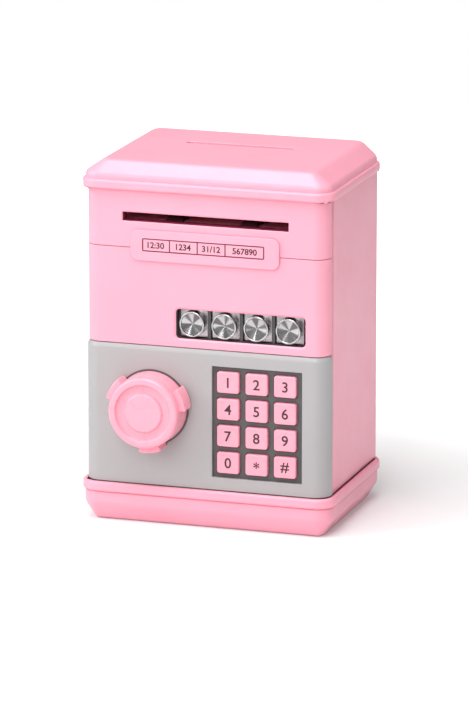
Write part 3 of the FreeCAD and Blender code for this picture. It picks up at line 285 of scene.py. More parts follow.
def makeBoard():
    # green laminate with copper tracks under the lacquer
    material, tree, shader = newMaterial("trackedBoard")
    place = addNode(tree, "TexCoord").outputs["Object"]
    cells = addNode(tree, "TexVoronoi", feature="DISTANCE_TO_EDGE")
    setInputs(cells, {"Scale": 260.0, "Randomness": 0.35})
    tree.links.new(place, cells.inputs["Vector"])
    track = remap(tree, cells.outputs["Distance"], 1.0, 0.0, 0.06, 0.10)
    colour = mixColours(tree, track, (0.012, 0.115, 0.040), (0.030, 0.230, 0.075))
    tree.links.new(colour, shader.inputs["Base Color"])
    tree.links.new(remap(tree, noise(tree, place, 300.0, 3.0), 0.22, 0.40), shader.inputs["Roughness"])
    addBump(tree, shader, track, 0.3, 0.03)
    setInputs(shader, {"Coat Weight": 0.3, "Coat Roughness": 0.1})
    return material


def makeCellWrap():
    # wrap of a battery cell: a dark sleeve, a copper-coloured band at the raised end and bare metal ends
    material, tree, shader = newMaterial("cellWrap")
    split = addNode(tree, "SeparateXYZ")
    place = addNode(tree, "TexCoord").outputs["Object"]
    tree.links.new(place, split.inputs[0])
    band = remap(tree, split.outputs["Y"], 0.0, 1.0, 12.0 * mm, 12.4 * mm)
    end = remap(tree, calc(tree, "ABSOLUTE", split.outputs["Y"]), 0.0, 1.0, 23.6 * mm, 23.8 * mm)
    sleeve = mixColours(tree, band, (0.025, 0.026, 0.030), (0.55, 0.25, 0.09))
    tree.links.new(mixColours(tree, end, sleeve, (0.60, 0.60, 0.61)), shader.inputs["Base Color"])
    tree.links.new(end, shader.inputs["Metallic"])
    smudge = noise(tree, place, 220.0, 4.0)
    tree.links.new(remap(tree, smudge, 0.22, 0.38), shader.inputs["Roughness"])
    addBump(tree, shader, smudge, 0.1, 0.02)
    return material


def makeLens():
    # the little lamps' frosted epoxy
    material, tree, shader = newMaterial("frostedLens")
    place = addNode(tree, "TexCoord").outputs["Object"]
    cloud = noise(tree, place, 700.0, 3.0)
    colour = mixColours(tree, cloud, (0.86, 0.85, 0.80), (0.74, 0.73, 0.68))
    tree.links.new(colour, shader.inputs["Base Color"])
    tree.links.new(remap(tree, cloud, 0.12, 0.30), shader.inputs["Roughness"])
    addBump(tree, shader, cloud, 0.1, 0.02)
    return material


finishes["spunMetal"] = makeSpunMetal()
finishes["trackedBoard"] = makeBoard()
finishes["cellWrap"] = makeCellWrap()
finishes["frostedLens"] = makeLens()
print("finishes made:", len(finishes))


# shapes are drawn in millimetres, and finishPiece turns them into metres
def finishPiece(bm, name, body, finish, stands=(), crease=35, wall=None,
                edgeRound=None, flip=False):
    bmesh.ops.remove_doubles(bm, verts=bm.verts[:], dist=0.0005)
    bmesh.ops.recalc_face_normals(bm, faces=bm.faces[:])
    if flip:
        bmesh.ops.reverse_faces(bm, faces=bm.faces[:])
    bmesh.ops.scale(bm, vec=(mm, mm, mm), verts=bm.verts[:])
    mesh = bpy.data.meshes.new(name)
    bm.to_mesh(mesh)
    bm.free()
    return placePiece(mesh, name, body, finish, stands, crease, wall, edgeRound)


def placePiece(mesh, name, body, finish, stands, crease, wall=None, edgeRound=None):
    mesh.shade_smooth()
    mesh.set_sharp_from_angle(angle=math.radians(crease))
    for each in (finish,) if isinstance(finish, str) else finish:
        mesh.materials.append(finishes[each])
    piece = bpy.data.objects.new(name, mesh)
    bpy.context.scene.collection.objects.link(piece)
    if wall:
        solid = piece.modifiers.new("wall", "SOLIDIFY")
        solid.thickness, solid.offset, solid.use_even_offset = wall * mm, -1.0, True
    if edgeRound:
        edge = piece.modifiers.new("edges", "BEVEL")
        edge.width, edge.segments, edge.limit_method = edgeRound * mm, 3, "ANGLE"
        edge.angle_limit, edge.harden_normals = math.radians(40), False
    smooth = piece.modifiers.new("shading", "WEIGHTED_NORMAL")
    smooth.keep_sharp = True
    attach(piece, body)
    if stands:
        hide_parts(*stands)
    return piece


def copiedPiece(node, name, finish, crease=28):
    # a part whose shape is right: its mesh merged, its flats joined and its rounds shaded smooth
    source = frame["nodes"][node]
    mesh = source.data.copy()
    mesh.name = name
    mesh.materials.clear()
    if "custom_normal" in mesh.attributes:
        mesh.attributes.remove(mesh.attributes["custom_normal"])
    bm = bmesh.new()
    bm.from_mesh(mesh)
    bmesh.ops.remove_doubles(bm, verts=bm.verts[:], dist=0.002 * mm)
    bmesh.ops.dissolve_degenerate(bm, edges=bm.edges[:], dist=0.001 * mm)
    bmesh.ops.dissolve_limit(bm, angle_limit=math.radians(0.5), verts=bm.verts[:], edges=bm.edges[:])
    bm.to_mesh(mesh)
    bm.free()
    return placePiece(mesh, name, source["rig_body"], finish, (node,), crease)


def outline(bm, x, y, level, radius, steps=7, openBack=False):
    # the edges of a rounded rectangle at one level; with openBack only its front corners are rounded
    known = set(bm.faces)
    corners = bmesh.ops.create_grid(bm, x_segments=1, y_segments=1, size=1.0)["verts"]
    for corner in corners:
        corner.co = (x[corner.co.x > 0], y[corner.co.y > 0], level)
    if radius:
        rounded = [v for v in corners if not openBack or v.co.y < sum(y) / 2]
        bmesh.ops.bevel(bm, geom=rounded, offset=radius, affect="VERTICES", segments=steps, profile=0.5,
                        material=-1)
    face = next(f for f in bm.faces if f not in known)
    edges = face.edges[:]
    bmesh.ops.delete(bm, geom=[face], context="FACES_ONLY")
    if openBack:
        last = [e for e in edges if all(abs(v.co.y - y[1]) < 1e-4 for v in e.verts)]
        edges = [e for e in edges if e not in last]
        bmesh.ops.delete(bm, geom=last, context="EDGES")
    return edges


def vertsOf(edges):
    return list({v for e in edges for v in e.verts})


def circle(bm, centre, radius, level, steps=24):
    made = bmesh.ops.create_circle(bm, cap_ends=False, radius=radius, segments=steps)["verts"]
    bmesh.ops.translate(bm, vec=(centre[0], centre[1], level), verts=made)
    return list({e for v in made for e in v.link_edges})


def bridge(bm, *rings):
    for first, second in zip(rings, rings[1:]):
        bmesh.ops.bridge_loops(bm, edges=first + second)


def fill(bm, *rings):
    bmesh.ops.triangle_fill(bm, use_beauty=True, edges=[e for ring in rings for e in ring])


def roundEdges(bm, edges, size, steps=5):
    bmesh.ops.bevel(bm, geom=[e for e in edges if e.is_valid], offset=size, affect="EDGES", segments=steps,
                    profile=0.5, material=-1, loop_slide=True)


def standUp(bm, edges):
    # turns a flat outline at level L to face the front at y = -L, so its y becomes z
    bmesh.ops.rotate(bm, cent=(0, 0, 0), matrix=facingFront, verts=vertsOf(edges))


def openFront(bm, x, z, depth, radius, margin, lip):
    # an opening in the flat front wall at y = depth, whose edge slopes in by the lip
    middle = (z[0] + z[1]) / 2
    flat = [f for f in bm.faces
            if abs(f.normal.y) > 0.99 and all(abs(v.co.y - depth) < 1e-4 for v in f.verts)]
    wall = next(f for f in flat if min(v.co.z for v in f.verts) < middle < max(v.co.z for v in f.verts))
    around = wall.edges[:]
    bmesh.ops.delete(bm, geom=[wall], context="FACES_ONLY")
    hole = outline(bm, x, z, -depth - lip, radius)
    wideX, wideZ = ((low - margin, high + margin) for low, high in (x, z))
    rim = outline(bm, wideX, wideZ, -depth, radius + margin)
    standUp(bm, hole + rim)
    bridge(bm, rim, hole)
    fill(bm, around, rim)


def spun(bm, profile, rounds, steps=72):
    # a turned shape about +Z from (radius, height) corners; rounds gives each corner's size
    corners = [bm.verts.new((radius, 0, height)) for radius, height in profile]
    for first, second in zip(corners, corners[1:]):
        bm.edges.new((first, second))
    for corner, size in zip(corners, rounds):
        if size:
            bmesh.ops.bevel(bm, geom=[corner], offset=size, affect="VERTICES", segments=4, profile=0.5,
                            material=-1)
    wire = bm.verts[:] + bm.edges[:]
    bmesh.ops.spin(bm, geom=wire, cent=(0, 0, 0), axis=(0, 0, 1), angle=2 * math.pi, steps=steps,
                   use_merge=True)
    bmesh.ops.remove_doubles(bm, verts=bm.verts[:], dist=0.0005)


def moveAll(bm, x=0.0, y=0.0, z=0.0):
    bmesh.ops.translate(bm, vec=(x, y, z), verts=bm.verts[:])


def addTo(bm, other):
    # puts another bmesh into this one
    holder = bpy.data.meshes.new("holder")
    other.to_mesh(holder)
    other.free()
    bm.from_mesh(holder)
    bpy.data.meshes.remove(holder)


def bevelledBlock(x, y, z, size, steps=2):
    bm = bmesh.new()
    bmesh.ops.create_cube(bm, size=1.0)
    for v in bm.verts:
        v.co = (x[v.co.x > 0], y[v.co.y > 0], z[v.co.z > 0])
    roundEdges(bm, bm.edges[:], size, steps)
    return bm


def tube(centre, span, bore, radius, steps=28):
    # an upright tube with softened mouths
    bm = bmesh.new()
    corners = ((bore, span[0]), (radius, span[0]), (radius, span[1]), (bore, span[1]))
    rings = [circle(bm, centre, r, z, steps) for r, z in corners]
    bridge(bm, *rings, rings[0])
    for ring in rings[1:3]:
        roundEdges(bm, ring, 0.2, 2)
    return bm


lid = {"half": 67.7, "deep": 47.7, "corner": 10.0, "bottom": 175.6, "rimTop": 180.6, "step": 1.5,
       "slopeFoot": 183.4, "sideSlope": 9.3, "frontSlope": 6.3, "browCorner": 4.0, "top": 190.0,
       "flat": 3.0, "flatCorner": 1.0, "slot": (-29.5, 29.5), "slotY": (11.8, 16.2), "slotCorner": 2.15,
       "slotDip": 1.5, "slotLow": 185.2, "slotBox": 1.6, "ceiling": 187.6, "stepUnder": 182.5, "ledge": 178.1,
       "ceilingRoom": (57.5, 37.5, 4.0), "wallRoom": (62.0, 42.0, 5.0), "skirtRoom": (65.15, 45.15, 1.5)}


def makeLid():
    bm = bmesh.new()

    def level(z, corner, side=0.0, front=0.0, rear=0.0):
        half, deep = lid["half"] - side, lid["deep"]
        return outline(bm, (-half, half), (front - deep, deep - rear), z, corner)

    def slot(grow, z):
        x, y = ((low - grow, high + grow) for low, high in (lid["slot"], lid["slotY"]))
        return outline(bm, x, y, z, lid["slotCorner"] + grow)

    def hollow(room, z):
        half, deep, corner = lid[room]
        return outline(bm, (-half, half), (-deep, deep), z, corner)

    step, crown, flat = lid["step"], lid["corner"] - lid["step"], lid["flat"]
    browSide, browFront = step + lid["sideSlope"], step + lid["frontSlope"]
    rimUnder = level(lid["bottom"], lid["corner"])
    rimOver = level(lid["rimTop"], lid["corner"])
    crease = level(lid["rimTop"], crown, step, step, step)
    slopeFoot = level(lid["slopeFoot"], crown, step, step, step)
    brow = level(lid["top"], lid["browCorner"], browSide, browFront, step)
    top = level(lid["top"], lid["flatCorner"], browSide + flat, browFront + flat, step + flat)
    slotOut, slotIn, slotLow = slot(lid["slotDip"], lid["top"]), slot(0, lid["top"]), slot(0, lid["slotLow"])
    boxOut, boxTop = slot(lid["slotBox"], lid["slotLow"]), slot(lid["slotBox"], lid["ceiling"])
    ceiling, stepIn = hollow("ceilingRoom", lid["ceiling"]), hollow("ceilingRoom", lid["stepUnder"])
    stepOut, ledge = hollow("wallRoom", lid["stepUnder"]), hollow("wallRoom", lid["ledge"])
    skirt, mouth = hollow("skirtRoom", lid["ledge"]), hollow("skirtRoom", lid["bottom"])
    bridge(bm, mouth, rimUnder, rimOver, crease, slopeFoot, brow, top)
    fill(bm, top, slotOut)
    bridge(bm, slotOut, slotIn, slotLow, boxOut, boxTop)
    fill(bm, boxTop, ceiling)
    bridge(bm, ceiling, stepIn, stepOut, ledge, skirt, mouth)
    for edges, size in ((rimUnder, 1.5), (rimOver, 1.35), (slopeFoot, 1.4), (brow, 1.5), (slotIn, 0.35)):
        roundEdges(bm, edges, size)
    finishPiece(bm, "lidCover", "cabinet", "pinkShell", ("lid_cover",))


makeLid()


# the outside of the foot is a row of rings from the sole up, each (inset, height)
foot = {"half": 67.2, "deep": 47.2, "corner": 8.8, "sole": (5.6, 0.0), "soleIn": (7.4, 0.0), "soleRound": 1.4,
        "sides": {"belly": (0.0, 9.2), "shoulder": (0.0, 15.2), "groove": (0.75, 15.9), "lip": (-0.5, 15.95),
                  "rimLow": (-1.2, 16.7), "rimTop": (-1.2, 21.0), "rimIn": (1.2, 21.0)},
        "rounds": {"belly": 1.6, "shoulder": 0.35, "lip": 0.3, "rimLow": 0.4, "rimTop": 1.5}, "mouthRound": 0.3,
        "mouth": ((-60, 60), (-36.8, 40), 5.0), "mouthTop": 21.0, "room": ((-62, 62), (-42, 42), 6.0),
        "roomTop": 18.6, "floor": 3.0, "hatch": ((3.9, 51.1), (-29.3, 29.3), 1.5),
        "screws": ((-57.5, -12.0), (57.5, -12.0), (-57.5, 37.5), (57.5, 37.5)),
        "pit": 3.2, "pitTop": 4.0, "shank": 1.7, "sleeve": 4.3, "sleeveTop": 20.9}


def makeFoot():
    bm = bmesh.new()

    def level(inset, z):
        half, deep = foot["half"] - inset, foot["deep"] - inset
        return outline(bm, (-half, half), (-deep, deep), z, foot["corner"] - inset)

    def shape(name, z):
        x, y, corner = foot[name]
        return outline(bm, x, y, z, corner)

    sole, soleIn = level(*foot["sole"]), level(*foot["soleIn"])
    sides = {name: level(*place) for name, place in foot["sides"].items()}
    mouth, mouthLow = shape("mouth", foot["mouthTop"]), shape("mouth", foot["roomTop"])
    under, floor = shape("room", foot["roomTop"]), shape("room", foot["floor"])
    hatchOut, hatchIn = shape("hatch", 0.0), shape("hatch", foot["floor"])
    pits = [circle(bm, centre, foot["pit"], 0.0) for centre in foot["screws"]]
    sleeves = [circle(bm, centre, foot["sleeve"], foot["floor"]) for centre in foot["screws"]]
    bridge(bm, soleIn, sole, *sides.values(), mouth, mouthLow, under, floor)
    fill(bm, soleIn, hatchOut, *pits)
    fill(bm, floor, hatchIn, *sleeves)
    bridge(bm, hatchOut, hatchIn)
    for centre, pit, sleeve in zip(foot["screws"], pits, sleeves):
        pitTop = circle(bm, centre, foot["pit"], foot["pitTop"])
        sleeveTop = circle(bm, centre, foot["sleeve"], foot["sleeveTop"])
        shank, shankTop = (circle(bm, centre, foot["shank"], z) for z in (foot["pitTop"], foot["sleeveTop"]))
        bridge(bm, pit, pitTop, shank, shankTop, sleeveTop, sleeve)
    roundEdges(bm, sole, foot["soleRound"])
    for name, size in foot["rounds"].items():
        roundEdges(bm, sides[name], size)
    roundEdges(bm, mouth, foot["mouthRound"])
    finishPiece(bm, "footMoulding", "cabinet", "pinkShell", ("base",))


makeFoot()
print("lid and foot made")


# fronts that wrap round both front corners; levels are (height, inset)
fronts = {
    "upperFront": {"node": "upper_front", "body": "cabinet", "finish": "pinkShell", "slot": "pink_plastic",
                   "half": 65.0, "front": -45.0, "back": -36.4, "corner": 7.5, "wall": 3.0, "edgeRound": 0.3,
                   "levels": ((146.0, 0), (147.2, 0), (176.8, 0), (178.0, 0)),
                   "hole": ((-44.3, 44.3), (159.6, 164.0), 0.3), "margin": 0.6, "lip": 0.6},
    "doorFront": {"node": "door_shell", "body": "door", "finish": "pinkShell", "slot": "pink_plastic",
                  "half": 65.0, "front": -45.0, "back": -36.4, "corner": 7.5, "wall": 3.0, "edgeRound": 0.3,
                  "levels": ((95.4, 0), (96.6, 0), (144.5, 0), (145.7, 0)),
                  "hole": ((-15.8, 53.5), (99.8, 115.2), 2.0), "margin": 0.9, "lip": 0.7},
    "doorLower": {"body": "door", "finish": "pinkInside", "slot": "pink_plastic",
                  "half": 63.6, "front": -43.6, "back": -36.4, "corner": 6.1, "wall": 1.6, "edgeRound": 0.15,
                  "levels": ((21.4, 0), (22.6, 0), (94.5, 0), (95.4, 0)),
                  "hole": ((0.8, 55.2), (25.0, 89.8), 2.0), "margin": 1.2, "lip": 0.0},
    "greyPanel": {"node": "door_panel", "body": "door", "finish": "greySatin", "slot": "grey_plastic",
                  "half": 65.8, "front": -45.8, "back": -36.8, "corner": 8.3, "wall": 2.0, "edgeRound": 0.25,
                  "levels": ((21.4, 0), (22.6, 0), (91.6, 0), (92.7, 0), (94.7, 0.9), (95.1, 1.9)),
                  "rounds": ((3, 0.6), (4, 0.3)),
                  "hole": ((3.8, 52.2), (28.0, 86.8), 0.5), "margin": 1.2, "lip": 0.0},
}


def makeFront(name, look):
    bm = bmesh.new()
    rings = []
    for z, inset in look["levels"]:
        half, depth = look["half"] - inset, (look["front"] + inset, look["back"])
        rings.append(outline(bm, (-half, half), depth, z, look["corner"] - inset, openBack=True))
    bridge(bm, *rings)
    x, z, radius = look["hole"]
    openFront(bm, x, z, look["front"], radius, look["margin"], look["lip"])
    for ring, size in look.get("rounds", ()):
        roundEdges(bm, rings[ring], size, 4)
    bmesh.ops.remove_doubles(bm, verts=bm.verts[:], dist=0.0005)
    bmesh.ops.recalc_face_normals(bm, faces=bm.faces[:])
    inwards = next(f for f in bm.faces if abs(f.normal.y) > 0.99).normal.y > 0
    stands = (look["node"],) if "node" in look else ()
    finishPiece(bm, name, look["body"], look["finish"], stands, wall=look["wall"],
                edgeRound=look["edgeRound"], flip=inwards)


for name, look in fronts.items():
    makeFront(name, look)

noteMouth = {"x": (-44.3, 44.3), "z": (159.6, 164.0), "wall": 2.0, "y": (-42.2, -38.5), "corner": 0.3}


def makeNoteMouth():
    # the short funnel behind the banknote slot, coloured deep wine as painted shade of its pink plastic
    bm = bmesh.new()
    rings = []
    wall = noteMouth["wall"]
    for grow, end in ((0, 0), (wall, 0), (wall, 1), (0, 1)):
        x, z = ((low - grow, high + grow) for low, high in (noteMouth["x"], noteMouth["z"]))
        rings.append(outline(bm, x, z, -noteMouth["y"][end], noteMouth["corner"] + grow / 2, 4))
    standUp(bm, [e for ring in rings for e in ring])
    bridge(bm, *rings, rings[0])
    finishPiece(bm, "noteMouth", "cabinet", "wineInside")


frontClips = {"bridge": (56.4, 62.3), "bridgeY": (-41.0, -38.0), "tab": (56.4, 58.6), "tabY": (-40.5, -25.0),
              "z": (158.0, 172.0), "hinge": (62.5, -39.0), "seat": (146.0, 153.0), "bore": 1.3, "radius": 2.4}


def makeFrontClips():
    # the clips and the hinge seat of the fixed front
    bm = bmesh.new()
    for side in (-1, 1):
        for name, edge in (("bridge", 0.3), ("tab", 0.4)):
            x = sorted(side * end for end in frontClips[name])
            addTo(bm, bevelledBlock(x, frontClips[name + "Y"], frontClips["z"], edge))
    addTo(bm, tube(frontClips["hinge"], frontClips["seat"], frontClips["bore"], frontClips["radius"]))
    finishPiece(bm, "frontClips", "cabinet", "pinkInside")


makeNoteMouth()
makeFrontClips()

# each standing post is (depths, bore, radius)
doorFittings = {"hinge": (62.5, -39.0), "knuckles": ((21.4, 28.4), (138.7, 145.7)), "bore": 1.32,
                "knuckle": 2.35, "boss": (-28.6, 62.7), "bossPost": ((38.0, 42.5), 2.55, 5.5),
                "screws": ((-48.5, 30), (-4.5, 30), (-48.5, 134.5), (48.5, 134.5)),
                "screwPost": ((22.3, 42.4), 1.45, 3.0)}


def makeDoorFittings():
    bm = bmesh.new()
    for span in doorFittings["knuckles"]:
        addTo(bm, tube(doorFittings["hinge"], span, doorFittings["bore"], doorFittings["knuckle"]))
    upright = [(doorFittings["boss"], *doorFittings["bossPost"])]
    upright += [(place, *doorFittings["screwPost"]) for place in doorFittings["screws"]]
    for place, span, bore, radius in upright:
        post = tube(place, span, bore, radius)
        bmesh.ops.rotate(post, cent=(0, 0, 0), matrix=facingFront, verts=post.verts[:])
        addTo(bm, post)
    finishPiece(bm, "doorFittings", "door", "pinkInside")


makeDoorFittings()
print("fronts made")


# parts whose shape is already right: node, then piece name, finish and slot
carried = {
    "body_shell": ("sideShell", "pinkShell", "pink_plastic"),
    "vault_floor": ("vaultFloor", "pinkInside", "pink_plastic"),
    "door_back": ("doorTray", "pinkInside", "pink_plastic"),
    "label_plate": ("labelPlate", "pinkShell", "pink_plastic"),
    "battery_cover": ("batteryLid", "pinkShell", "pink_plastic"),
    "key_frame": ("keyFrame", "darkMatt", "dark_plastic"),
    "lamp_tray": ("lampTray", "windowDark", "dark_plastic"),
    "battery_box": ("batteryBox", "darkMatt", "dark_plastic"),
    "feed_frame": ("feedFrame", "pinkInside", "pink_plastic"),
    "hinge_pins": ("hingePins", "drawnSteel", "steel"),
    "base_screws": ("footScrews", "platedSteel", "steel"),
    "battery_screw": ("lidScrew", "platedSteel", "steel"),
    "door_screws": ("trayScrews", "platedSteel", "steel"),
    "knob_clip": ("shaftClip", "platedSteel", "steel"),
    "latch_bolt": ("latchBolt", "drawnSteel", "steel"),
    "lock_plunger": ("lockPlunger", "drawnSteel", "steel"),
    "drive_shaft": ("driveShaft", "drawnSteel", "steel"),
    "idle_shaft": ("idleShaft", "drawnSteel", "steel"),
    "battery_contacts": ("batteryContacts", "springBrass", "steel"),
    "feed_motor": ("feedMotor", "platedSteel", "steel"),
    "lamp_leds": ("lampLeds", "frostedLens", "lamp_lens"),
    "key_mat": ("keyMat", "tyreRubber", "rubber"),
    "drive_rollers": ("driveRollers", "wineRubber", "rubber"),
    "idle_rollers": ("idleRollers", "wineRubber", "rubber"),
    "key_board": ("keyBoard", "trackedBoard", "circuit_board"),
    "lamp_board": ("lampBoard", "trackedBoard", "circuit_board"),
    "main_board": ("mainBoard", "trackedBoard", "circuit_board"),
    "speaker": ("speakerUnit", "blackMatt", "black_plastic"),
    "lock_coil": ("lockCoil", "blackMatt", "black_plastic"),
    "battery_cells": ("batteryCells", "cellWrap", "black_plastic"),
    "drive_gear": ("driveGear", "naturalNylon", "white_plastic"),
    "motor_pinion": ("motorPinion", "naturalNylon", "white_plastic"),
    "knob_shaft": ("knobShaft", "naturalNylon", "white_plastic"),
}
for node, (name, finish, slotName) in carried.items():
    copiedPiece(node, name, finish)
print("carried-over parts:", len(carried))


lamps = {"first": -7.4, "pitch": 17.2, "height": 107.5, "count": 4, "radius": 6.7, "bore": 2.1, "face": -44.7,
         "back": -40.6, "dish": 5.75, "depth": 1.6, "below": 0.5, "seat": 0.7, "hub": 0.5, "wedges": 12,
         "turn": (0.2, 0.35), "nib": ((0, 1.7), (0.75, 1.75), (0.95, 2.1)), "plate": (7.5, 7.3),
         "plateY": (-40.5, -39.7)}


def makeLamps():
    rims, dishes, mirrors = bmesh.new(), bmesh.new(), bmesh.new()
    tall, inner = lamps["back"] - lamps["face"], lamps["dish"]
    for number in range(lamps["count"]):
        x = lamps["first"] + lamps["pitch"] * number
        rim = bmesh.new()
        seat = tall - lamps["depth"] - lamps["seat"]
        profile = ((lamps["bore"], 0), (lamps["radius"], 0), (lamps["radius"], tall), (inner, tall),
                   (inner, seat), (lamps["bore"], seat), (lamps["bore"], 0))
        spun(rim, profile, (0, 0.2, 0.5, 0.3, 0, 0, 0), 60)
        dish = bmesh.new()
        bmesh.ops.create_cone(dish, cap_ends=False, segments=lamps["wedges"], radius1=lamps["hub"],
                              radius2=inner, depth=lamps["depth"])
        first, step = lamps["turn"]  # each dish is turned a little further than the last
        turned = Matrix.Rotation(step * number + first, 3, "Z")
        bmesh.ops.rotate(dish, cent=(0, 0, 0), matrix=turned, verts=dish.verts[:])
        moveAll(dish, z=tall - lamps["below"] - lamps["depth"] / 2)
        nib = bmesh.new()
        spun(nib, [(radius, tall - low) for radius, low in lamps["nib"]], (0, 0.2, 0), 24)
        addTo(dish, nib)
        for part, whole in ((rim, rims), (dish, dishes)):
            bmesh.ops.rotate(part, cent=(0, 0, 0), matrix=facingFront, verts=part.verts[:])
            moveAll(part, x, lamps["back"], lamps["height"])
            addTo(whole, part)
        halfX, halfZ = lamps["plate"]
        plate = bevelledBlock((x - halfX, x + halfX), lamps["plateY"],
                              (lamps["height"] - halfZ, lamps["height"] + halfZ), 0.35, 3)
        addTo(mirrors, plate)
    finishPiece(rims, "lampRims", "door", "brightTrim", ("lamp_caps",), crease=50)
    finishPiece(dishes, "lampDishes", "door", "spunMetal", crease=12)
    finishPiece(mirrors, "lampMirrors", "door", "mirrorPlate", ("lamp_reflectors",))


makeLamps()


knob = {"x": -28.6, "z": 62.7, "base": -46.1, "bore": 2.6, "boreEnd": 9.0, "height": 15.1, "skirt": 19.1,
        "face": 18.6, "dish": 15.0, "dishDeep": 1.8, "boss": 10.0, "bossLow": 0.4,
        "lugs": (21.0, 149.0, 277.0), "lugSpan": 33.0, "lugIn": 17.0, "lugOut": 21.9, "lugLow": 0.6,
        "lugHigh": 11.2, "lugRound": 0.8, "mark": (10.6, 14.3), "notch": (6.6, 9.2)}
# a thin dark disc behind the knob, painted shade for the gap round its skirt
knobShadeDisc = {"bore": 3.2, "radius": 20.0, "thick": 0.26, "back": -45.8}


def makeKnob():
    bm = bmesh.new()
    top = knob["height"]
    floor, crown = top - knob["dishDeep"], top - knob["bossLow"]
    profile = ((0, knob["boreEnd"]), (knob["bore"], knob["boreEnd"]), (knob["bore"], 0), (knob["skirt"], 0),
               (knob["face"], top), (knob["dish"], top), (knob["dish"] - 0.5, floor),
               (knob["boss"] + 0.4, floor), (knob["boss"], crown), (0, crown))
    spun(bm, profile, (0, 0, 0, 0.4, 1.5, 0.5, 0.45, 0.45, 0.9, 0), 96)
    low, high, near, out = knob["lugLow"], knob["lugHigh"], knob["lugIn"], knob["lugOut"]
    span = math.radians(knob["lugSpan"])
    for middle in knob["lugs"]:
        lug = bmesh.new()
        corners = [lug.verts.new((r, 0, h)) for r, h in ((near, low), (out, low), (out, high), (near, high))]
        face = lug.faces.new(corners)
        bmesh.ops.spin(lug, geom=[face], cent=(0, 0, 0), axis=(0, 0, 1), angle=span, steps=10)
        bmesh.ops.remove_doubles(lug, verts=lug.verts[:], dist=0.0005)
        bmesh.ops.recalc_face_normals(lug, faces=lug.faces[:])
        sharp = [e for e in lug.edges if len(e.link_faces) == 2 and e.calc_face_angle() > 0.6]
        roundEdges(lug, sharp, knob["lugRound"], 4)
        turned = Matrix.Rotation(math.radians(middle) - span / 2, 3, "Z")
        bmesh.ops.rotate(lug, cent=(0, 0, 0), matrix=turned, verts=lug.verts[:])
        addTo(bm, lug)
    # fine witness lines above and below the middle, each (half width, reach, level, height, edge)
    for half, reach, level, proud, edge in ((0.18, knob["mark"], floor, 0.12, 0.06),
                                            (0.16, knob["notch"], crown, 0.06, 0.04)):
        for sign in (1, -1):
            y = sorted(sign * end for end in reach)
            addTo(bm, bevelledBlock((-half, half), y, (level - 0.2, level + proud), edge))
    bmesh.ops.rotate(bm, cent=(0, 0, 0), matrix=facingFront, verts=bm.verts[:])
    moveAll(bm, knob["x"], knob["base"], knob["z"])
    finishPiece(bm, "latchKnob", "knob", "pinkGloss", ("knob",), crease=40)


def makeKnobShadeDisc():
    # the dark disc behind the knob: painted shade for the shadowed gap between the knob and the panel
    bm = bmesh.new()
    bore, radius, thick = knobShadeDisc["bore"], knobShadeDisc["radius"], knobShadeDisc["thick"]
    spun(bm, ((bore, 0), (radius, 0), (radius, thick), (bore, thick), (bore, 0)), (0, 0, 0.1, 0, 0), 96)
    bmesh.ops.rotate(bm, cent=(0, 0, 0), matrix=facingFront, verts=bm.verts[:])
    moveAll(bm, knob["x"], knobShadeDisc["back"], knob["z"])
    finishPiece(bm, "knobPaintedShade", "door", "darkMatt")


makeKnob()
makeKnobShadeDisc()
print("knob and lamps made")


def figureMesh(text, size, depth, bold):
    # figures in the built-in font, made a mesh before they are placed
    words = bpy.data.curves.new("words", "FONT")
    words.body, words.size, words.extrude, words.offset = text, size, depth, bold
    words.align_x, words.align_y, words.resolution_u = "CENTER", "CENTER", 6
    holder = bpy.data.objects.new("holder", words)
    bpy.context.scene.collection.objects.link(holder)
    shaped = holder.evaluated_get(bpy.context.evaluated_depsgraph_get())
    mesh = bpy.data.meshes.new_from_object(shaped)
    bpy.data.objects.remove(holder)
    bm = bmesh.new()
    bm.from_mesh(mesh)
    bpy.data.meshes.remove(mesh)
    xs, ys = [v.co.x for v in bm.verts], [v.co.y for v in bm.verts]
    moveAll(bm, -(min(xs) + max(xs)) / 2, -(min(ys) + max(ys)) / 2)
    bmesh.ops.rotate(bm, cent=(0, 0, 0), matrix=facingFront, verts=bm.verts[:])
    return bm


# the rings of a key run from its flange to the dish in its face, each (growth, height, corner); a round is
# (ring, size, steps)
keys = {"pitchX": 15.3, "pitchZ": 14.15, "x": 12.55, "z": 36.2, "half": (6.0, 5.65), "back": -41.0,
        "face": -46.3,
        "rings": ((0.7, 0, 0.8), (0.7, 1.1, 0.8), (0, 1.1, 1.3), (-0.12, 5.3, 1.3), (-1.5, 5.28, 0.7),
                  (-3.2, 5.14, 0.4)),
        "rounds": ((3, 0.7, 4), (1, 0.15, 2)), "figure": 7.6, "bold": 0.11, "figureBack": 0.14,
        "rows": (("0", "star", "hash"), ("7", "8", "9"), ("4", "5", "6"), ("1", "2", "3"))}
glyphs = {"star": "*", "hash": "#"}


def makeKey(key, x, z):
    bm = bmesh.new()
    rings = []
    for grow, height, corner in keys["rings"]:
        halfX, halfZ = (half + grow for half in keys["half"])
        rings.append(outline(bm, (-halfX, halfX), (-halfZ, halfZ), height, corner, 5))
    bridge(bm, *rings)
    fill(bm, rings[0])
    fill(bm, rings[-1])
    for ring, size, steps in keys["rounds"]:
        roundEdges(bm, rings[ring], size, steps)
    bmesh.ops.rotate(bm, cent=(0, 0, 0), matrix=facingFront, verts=bm.verts[:])
    moveAll(bm, x, keys["back"], z)
    body = "key_" + key
    finishPiece(bm, "keyCap" + key.capitalize(), body, "pinkGloss", (body,), crease=30)
    figure = figureMesh(glyphs.get(key, key), keys["figure"], 0.05, keys["bold"])
    moveAll(figure, x, keys["face"] + keys["figureBack"], z)
    finishPiece(figure, "keyFigure" + key.capitalize(), body, "keyInk")


for row, names in enumerate(keys["rows"]):
    for column, key in enumerate(names):
        makeKey(key, keys["x"] + keys["pitchX"] * column, keys["z"] + keys["pitchZ"] * row)
print("keys made")


